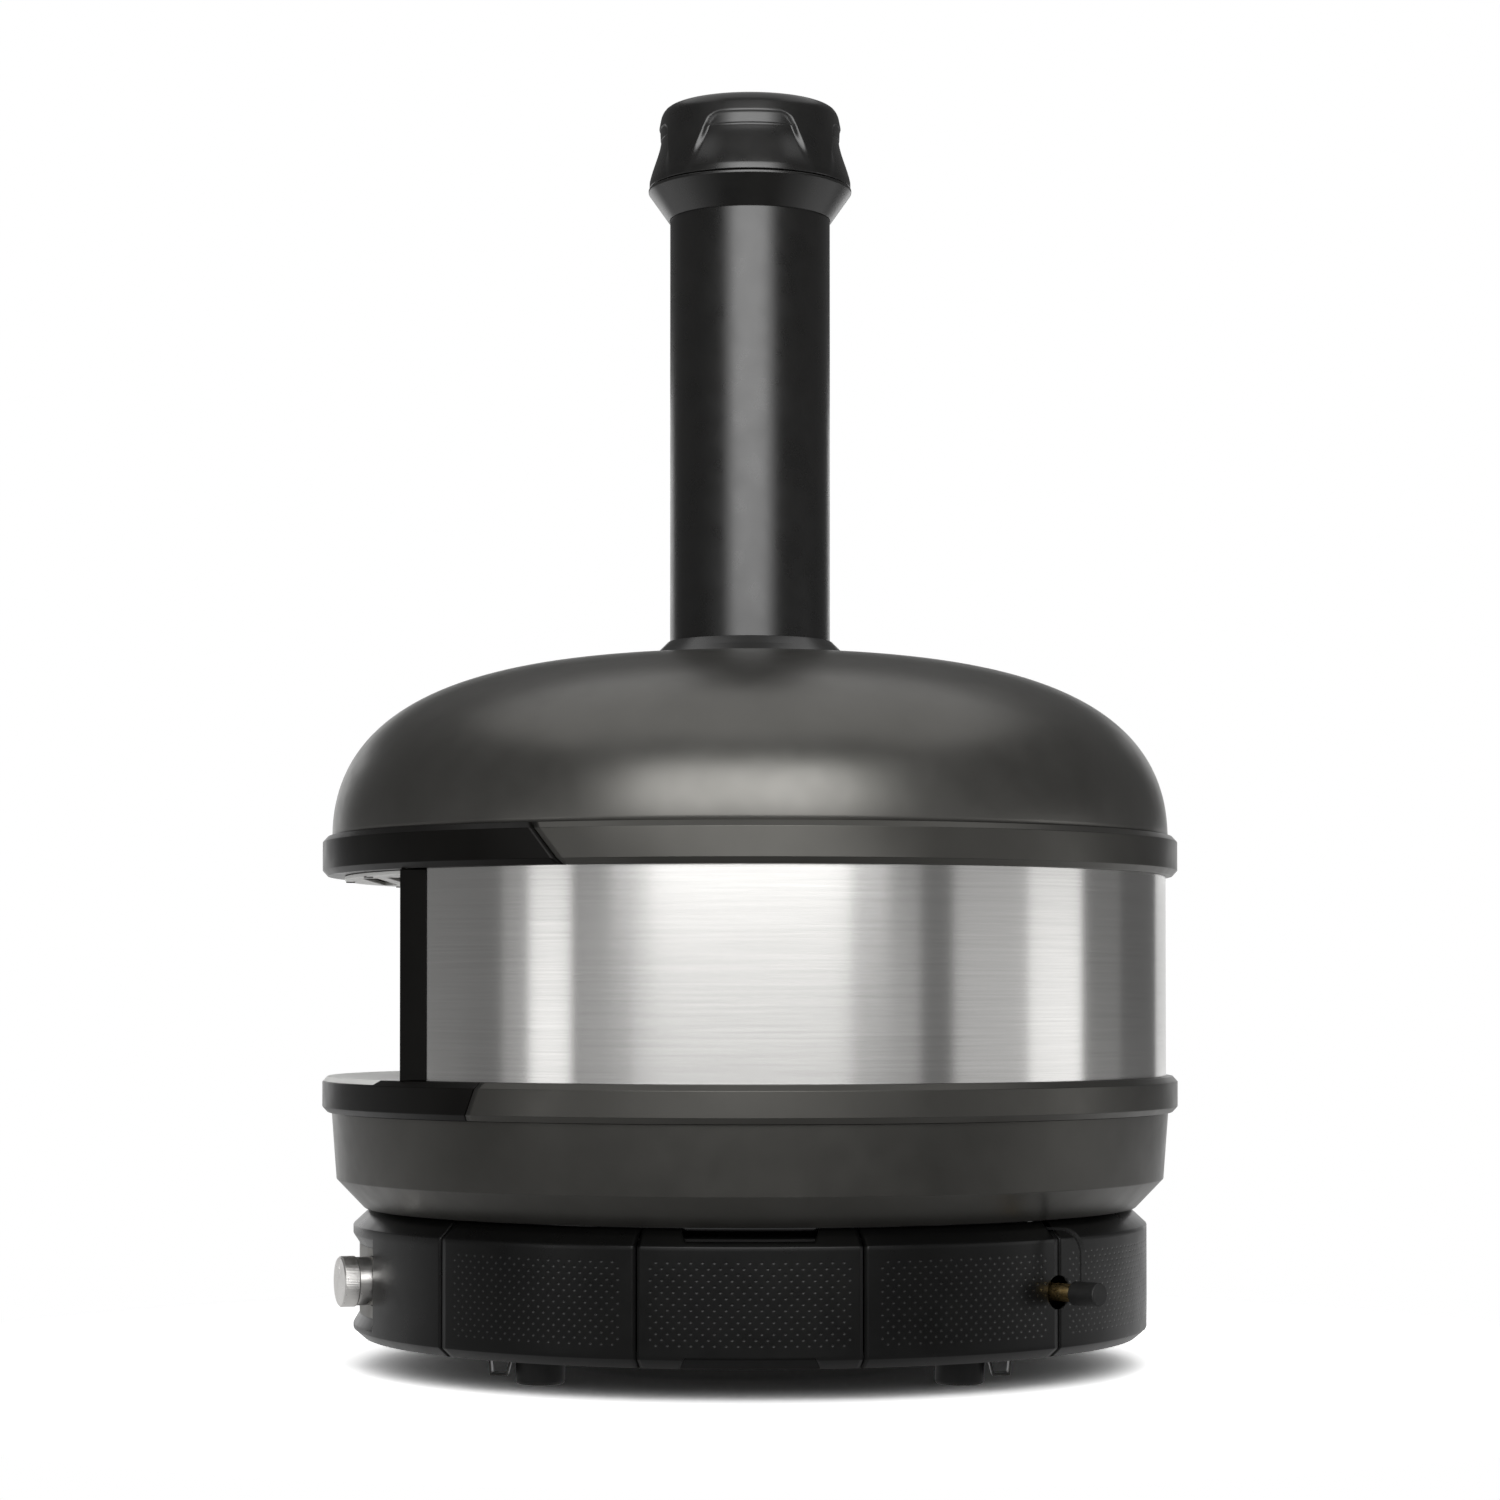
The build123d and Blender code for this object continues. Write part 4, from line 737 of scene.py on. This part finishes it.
def make_skirt_panel(name, node, start, end, notch=0.0, reach=0.0, trough=False):
    """A sheet panel between two seams 1.2 mm wide, with dimples as far as reach from its middle."""
    seam = math.degrees(1.2 / SKIRT) / 2
    start, end = start + seam, end - seam
    middle = (start + end) / 2
    columns, rows = panel_grid(start, end, notch, reach, trough)
    radius, height, outer = panel_section(columns, rows, middle, notch, trough)
    if trough:
        radius -= trough_depth(columns[:, None], height)
    if reach:
        radius[:, :outer] -= dimple_depth(columns[:, None], height[:, :outer], middle, reach)
    turn = np.radians(columns)[:, None]
    grid = np.stack([radius * np.cos(turn), radius * np.sin(turn), height], axis=-1)
    grid = np.concatenate([grid, grid[:, :1]], axis=1)
    count, around = grid.shape[:2]
    ends = np.arange(count * around).reshape(count, around)[[0, -1], :-1]
    return make_piece(name, grid.reshape(-1, 3), [grid_faces(count, around), ends], node)


def mark_dimples(piece):
    """Writes the attribute dimple: (306 - r) / 0.1 held to 0..1, on the outer face's dimpled rows."""
    deepest, foot, top = 0.4, DIMPLE_FOOT - 1.4, DIMPLE_FOOT + DIMPLE_RISE * (DIMPLE_ROWS - 1) + 1.5
    mesh = piece.data
    places = np.empty(len(mesh.vertices) * 3, np.float32)
    mesh.vertices.foreach_get("co", places)
    x, y, z = places.reshape(-1, 3).T / MM
    radius = np.hypot(x, y)
    outside = (radius > SKIRT - deepest) & (z > foot) & (z < top)
    share = np.where(outside, np.clip((SKIRT - radius) / 0.1, 0, 1), 0.0)
    mesh.attributes.new("dimple", "FLOAT", "POINT").data.foreach_set("value", share.astype(np.float32))


def make_skirt():
    """The eight panels round the base, with the holes for the gas inlet, its tether and the knob."""
    side, corner = SIDE_SEAM, CORNER_SEAM
    spans = {
        "right_centre": (-side, side),
        "left_centre": (180 - side, 180 + side),
        "right_front": (-corner, -side),
        "right_rear": (side, corner),
        "left_rear": (180 - corner, 180 - side),
        "left_front": (180 + side, 180 + corner),
    }
    panels = {}
    for place, span in spans.items():
        notch = 1.0 if place.endswith("centre") else 0.0
        panels[place] = make_skirt_panel("panel_" + place, "skirt_" + place, *span, notch, SIDE_REACH)
    span = corner, 180 - corner
    panels["rear"] = make_skirt_panel("panel_rear", "skirt_rear_panel", *span, reach=BACK_REACH)
    span = 180 + corner, 360 - corner
    front = make_skirt_panel("panel_control", "skirt_control_panel", *span, trough=True)
    hole, slot_half, slot_foot, slot_top = 12.25, 3.75, 43.5, 56.0
    out = facing_out(INLET_ANGLE)
    for place in ("right_rear", "rear"):
        carve(panels[place], [
            rod_cutter(hole, 290, 312, out),
            box_cutter((-slot_half, slot_foot, 280), (slot_half, slot_top, 320), out),
        ])
    carve(front, [rod_cutter(KNOB_HOLE, 288, 312, facing_out(KNOB_ANGLE))])
    for panel in panels.values():
        mark_dimples(panel)


def make_recess():
    """The grey plate on the trough's floor, and the well behind the knob that lets it be pushed in."""
    out = facing_out(KNOB_ANGLE)
    inner, outer, low, high = 300.85, 301.25, 43.4, 95.6
    plate = turned("recess_plate", rounded([
        (inner, low, 0.1), (outer, low, 0.1), (outer, high, 0.1), (inner, high, 0.1),
    ], 2), "knob_bezel", FRONT - TROUGH_FLOOR_HALF, FRONT + TROUGH_FLOOR_HALF, 80)
    carve(plate, [rod_cutter(KNOB_HOLE, 288, 312, out)])
    sheet, floor, rim = 0.6, 295.6, 298.5
    turned("recess_well", rounded([
        (0, floor, 0), (KNOB_HOLE + sheet, floor, 0.3), (KNOB_HOLE + sheet, rim, 0.2), (KNOB_HOLE, rim, 0.2),
        (KNOB_HOLE, floor + sheet, 0.2), (0, floor + sheet, 0),
    ], 2), "knob_bezel", steps=96, place=out)


def make_knob():
    """The control knob: a polished neck and a knurled grip with a bright chamfered face.

    The knurl sets the grip's radius to r - 0.12 * (0.5 + 0.5 * cos(n * a)) ** 2 with n ribs.
    """
    neck, grip, ribs = 18.1, 19.0, 96
    back, step, face = 300.8, 314.0, 326.0
    stem, stem_end = 4.05, 321.8
    profile = rounded([
        (0, back, 0), (neck, back, 0.3), (neck, step, 0.0), (neck + 0.3, step + 0.1, 0.0),
        (grip, step + 1, 0.0), (grip, face - 1, 0.25), (grip - 1, face, 0.25), (0, face, 0),
    ], 3)

    def knurl(grid):
        angle = np.arctan2(grid[..., 1], grid[..., 0])
        radius = np.hypot(grid[..., 0], grid[..., 1])
        ribbed = (radius > grip - 0.15) & (grid[..., 2] > step + 0.5)
        sink = 0.12 * (0.5 + 0.5 * np.cos(ribs * angle)) ** 2
        factor = np.where(ribbed, (radius - sink) / np.maximum(radius, 1), 1.0)[..., None]
        return grid * np.concatenate([factor, factor, np.ones_like(factor)], axis=-1)

    out = facing_out(KNOB_ANGLE)
    knob = turned("knob_turned", profile, "gas_knob", steps=768, place=out, shape=knurl)
    index_mark = box_cutter((-1, 9.5, face - 0.8), (1, 30, face + 4), out)
    carve(knob, [index_mark, rod_cutter(stem, 290, stem_end, out, 48)])


def make_soffit_screws():
    """Three flat screw heads under the front edge of the soffit."""
    away, head_radius, low, high = 310.4, 3.5, 372.4, 373.4
    head = rounded([(0, low, 0), (head_radius, low, 0.35), (head_radius, high, 0.1), (0, high, 0)], 3)
    for number, turn in enumerate((-24.0, 0.0, 24.0)):
        angle = math.radians(turn - 90)
        middle = np.array([away * math.cos(angle), away * math.sin(angle), 0])
        turned(f"soffit_screw_{number}", head, "soffit_screws", steps=48, place=lambda p, m=middle: p + m)


def make_inlet_cap():
    """The rubber cap on the gas inlet's nipple."""
    bore, outside = 6.8, 8.7
    mouth, bottom, top = 321.0, 341.0, 344.0
    turned("inlet_rubber", rounded([
        (0, bottom, 0), (bore, bottom, 0.3), (bore, mouth, 0.3), (outside, mouth, 0.9), (outside, top, 1.2),
        (0, top, 0),
    ], 5), "inlet_cap", steps=96, place=facing_out(INLET_ANGLE))


def bevelled(node, width=0.4):
    """Rounds the edges of a construction node as it is shown, so that they catch the light."""
    piece = frame["nodes"][node]
    weld = piece.modifiers.new("weld", "WELD")
    weld.merge_threshold = 2e-6
    bevel = piece.modifiers.new("edge", "BEVEL")
    bevel.width = width * MM
    bevel.segments = 3
    bevel.limit_method = "ANGLE"
    bevel.angle_limit = math.radians(35)
    even_shading(piece)


def dress_nodes():
    """Finishes for the construction nodes that are shown as they are."""
    for node, piece in frame["nodes"].items():
        dress(piece, slots[node])
    for node in ("right_jamb", "left_jamb", "mouth_lintel", "landing_shelf", "foot_straps", "hood_soffit",
                 "base_pan", "gas_brackets", "throat_stone", "floor_stone_right",
                 "floor_stone_left", "lower_ring_front"):
        bevelled(node, 0.9 if "jamb" in node else 0.4)


def stage_material(name, level):
    """A plain panel that only reflections see."""
    material = bpy.data.materials.new(name)
    material.use_nodes = True
    tree = material.node_tree
    tree.nodes.clear()
    light = add(tree, "Emission", {"Color": (1, 1, 1, 1), "Strength": level})
    add(tree, "OutputMaterial", {"Surface": light.outputs[0]})
    return material


def only_reflected(piece):
    """Lets only glossy rays see a stage piece."""
    piece.visible_camera = False
    piece.visible_diffuse = False
    piece.visible_shadow = False
    piece.visible_transmission = False
    piece.visible_volume_scatter = False


def reflector(name, middle, half, low, high, level, radius):
    """A curved panel about the oven, in degrees of azimuth and elevation, radius metres away."""
    azimuth = np.radians(np.linspace(middle - half, middle + half, 25))[:, None]
    elevation = np.radians(np.linspace(low, high, 9))[None, :]
    x, y = radius * np.cos(azimuth) + 0 * elevation, radius * np.sin(azimuth) + 0 * elevation
    z = AIM_HEIGHT + radius * np.tan(elevation) + 0 * azimuth
    points = np.stack([x, y, z], axis=-1).reshape(-1, 3)
    mesh = bpy.data.meshes.new(name)
    mesh.from_pydata(points.tolist(), [], grid_faces(25, 9).tolist())
    mesh.materials.append(stage_material(name, level))
    panel = bpy.data.objects.new(name, mesh)
    bpy.context.scene.collection.objects.link(panel)
    only_reflected(panel)


def make_reflectors():
    """Light boxes and dark flags that the brushed wall and the satin paints reflect."""
    reflector("studio_wall_low", 0, 180, -12, 5, 0.24, 2.60)
    reflector("studio_wall", 0, 180, 4.9, 48, 0.13, 2.61)
    reflector("studio_sky", 0, 50, 47.5, 60, 0.13, 2.62)
    reflector("key_edge", 0, 35, 7, 38, 2.0, 2.40)
    reflector("key_box", 0, 25, 8, 37, 4.9, 2.38)
    reflector("key_foot_wide", 0, 43, -12, 5, 0.65, 2.42)
    reflector("key_foot", -2, 27, -12, 5, 0.95, 2.40)
    reflector("left_strip_wide", -56, 9, -12, 5, 0.6, 2.36)
    reflector("left_strip", -51, 6, -12, 5, 1.9, 2.35)
    reflector("right_strip", 65, 13, -12, 5, 0.85, 2.35)
    reflector("right_box", 85, 10, -12, 5, 1.6, 2.33)
    reflector("rear_flag", 132, 18, -12, 5, 0.13, 2.45)
    reflector("edge_box", 146, 5, -4.8, 5.2, 1.25, 2.41)
    reflector("edge_box_wall", 154, 13, -3.4, 3.9, 0.75, 2.39)
    reflector("rear_box", 184, 34, -22, 19, 1.25, 2.40)


def make_world():
    """White for rays that see the backdrop or mirror it, and a plain level for the light itself."""
    world = bpy.data.worlds.new("studio")
    bpy.context.scene.world = world
    world.use_nodes = True
    tree = world.node_tree
    tree.nodes.clear()
    path = add(tree, "LightPath").outputs
    seen = add(tree, "Math", {0: path["Is Camera Ray"], 1: path["Is Glossy Ray"]}, operation="MAXIMUM")
    seen = add(tree, "Math", {0: seen.outputs[0], 1: path["Is Transmission Ray"]}, operation="MAXIMUM")
    inputs = {"Value": seen.outputs[0], "To Min": 0.5, "To Max": 1.0}
    level = add(tree, "MapRange", inputs)
    light = add(tree, "Background", {"Color": (1, 1, 1, 1), "Strength": level.outputs[0]})
    add(tree, "OutputWorld", {"Surface": light.outputs[0]})


def make_floor():
    """A white floor that keeps the oven's shadow and melts into the backdrop away from it.

    The camera sees its paper with a painted shade under the base, where its grey is raised less,
    and reflections see a painted glow of its own that falls to a painted shadow under the oven's near
    side and ahead of it.
    """
    mesh = bpy.data.meshes.new("floor")
    reach = 12.0
    mesh.from_pydata([(-reach, -reach, 0), (reach, -reach, 0), (reach, reach, 0), (-reach, reach, 0)], [],
                     [(0, 1, 2, 3)])
    material, tree, place = new_material("studio_floor")
    far = add(tree, "VectorMath", {0: place}, operation="LENGTH").outputs["Value"]
    away = add(tree, "MapRange", {"Value": far, "From Min": 0.42, "From Max": 0.75},
               interpolation_type="SMOOTHSTEP").outputs[0]
    path = add(tree, "LightPath").outputs
    # Painted shade: for the camera the paper's grey is raised by 0.8 near the middle and by up to 3.0 from
    # 0.36 m out, so the floor round and under the oven is painted darker.
    seen = add(tree, "MapRange", {"Value": far, "From Min": 0.12, "From Max": 0.36, "To Min": 0.8,
                                  "To Max": 3.0}).outputs[0]
    painted_shade_gain = add(tree, "MapRange", {"Value": path["Is Camera Ray"], "To Min": 0.8, "To Max": seen}).outputs[0]
    grey = add(tree, "CombineColor", {0: painted_shade_gain, 1: painted_shade_gain, 2: painted_shade_gain}).outputs[0]
    paper = add(tree, "BsdfDiffuse", {"Color": grey})
    white = add(tree, "Emission", {"Strength": 1.0})
    # Painted reflection: glossy rays see a glow of 0.7 behind the oven that falls to 0.4 under its near
    # side, a painted shadow, then to 0.15 times that ahead of it.
    along = add(tree, "SeparateXYZ", {0: place}).outputs["X"]
    under = add(tree, "MapRange", {"Value": along, "From Min": -0.05, "From Max": 0.2, "To Min": 0.7,
                                   "To Max": 0.4}).outputs[0]
    ahead = add(tree, "MapRange", {"Value": along, "From Min": 0.38, "From Max": 0.5, "To Min": 1.0,
                                   "To Max": 0.15}).outputs[0]
    level = add(tree, "Math", {0: under, 1: ahead}, operation="MULTIPLY").outputs[0]
    dark = add(tree, "Emission", {"Strength": level})
    near = add(tree, "MixShader", {"Fac": away, 1: paper.outputs[0], 2: white.outputs[0]})
    both = add(tree, "MixShader", {"Fac": path["Is Glossy Ray"], 1: near.outputs[0], 2: dark.outputs[0]})
    add(tree, "OutputMaterial", {"Surface": both.outputs[0]})
    mesh.materials.append(material)
    floor = bpy.data.objects.new("floor", mesh)
    bpy.context.scene.collection.objects.link(floor)


def make_lamp(name, azimuth, elevation, distance, width, height, power):
    """A soft box that lights the paints but isn't mirrored, since the panels above stand for it."""
    light = bpy.data.lights.new(name, "AREA")
    light.shape = "RECTANGLE"
    light.size, light.size_y = width, height
    light.energy = power
    lamp = bpy.data.objects.new(name, light)
    out, up = math.radians(azimuth), math.radians(elevation)
    aim = Vector((0, 0, AIM_HEIGHT))
    way = Vector((math.cos(out) * math.cos(up), math.sin(out) * math.cos(up), math.sin(up)))
    lamp.location = aim + way * distance
    lamp.rotation_euler = way.to_track_quat("Z", "Y").to_euler()
    bpy.context.scene.collection.objects.link(lamp)
    lamp.visible_glossy = False
    lamp.visible_camera = False


make_camera()
materials = make_materials()
polish_dimples(materials["skirt_paint"], 0.24, 1.75)
dress_nodes()
make_flue()
make_cap()
make_body()
make_skirt()
make_soffit_screws()
make_recess()
make_knob()
make_inlet_cap()
make_world()
make_floor()
make_reflectors()
make_lamp("key", 4, 22, 2.6, 2.0, 1.4, 36)
make_lamp("top", 0, 80, 2.6, 1.6, 1.6, 14)
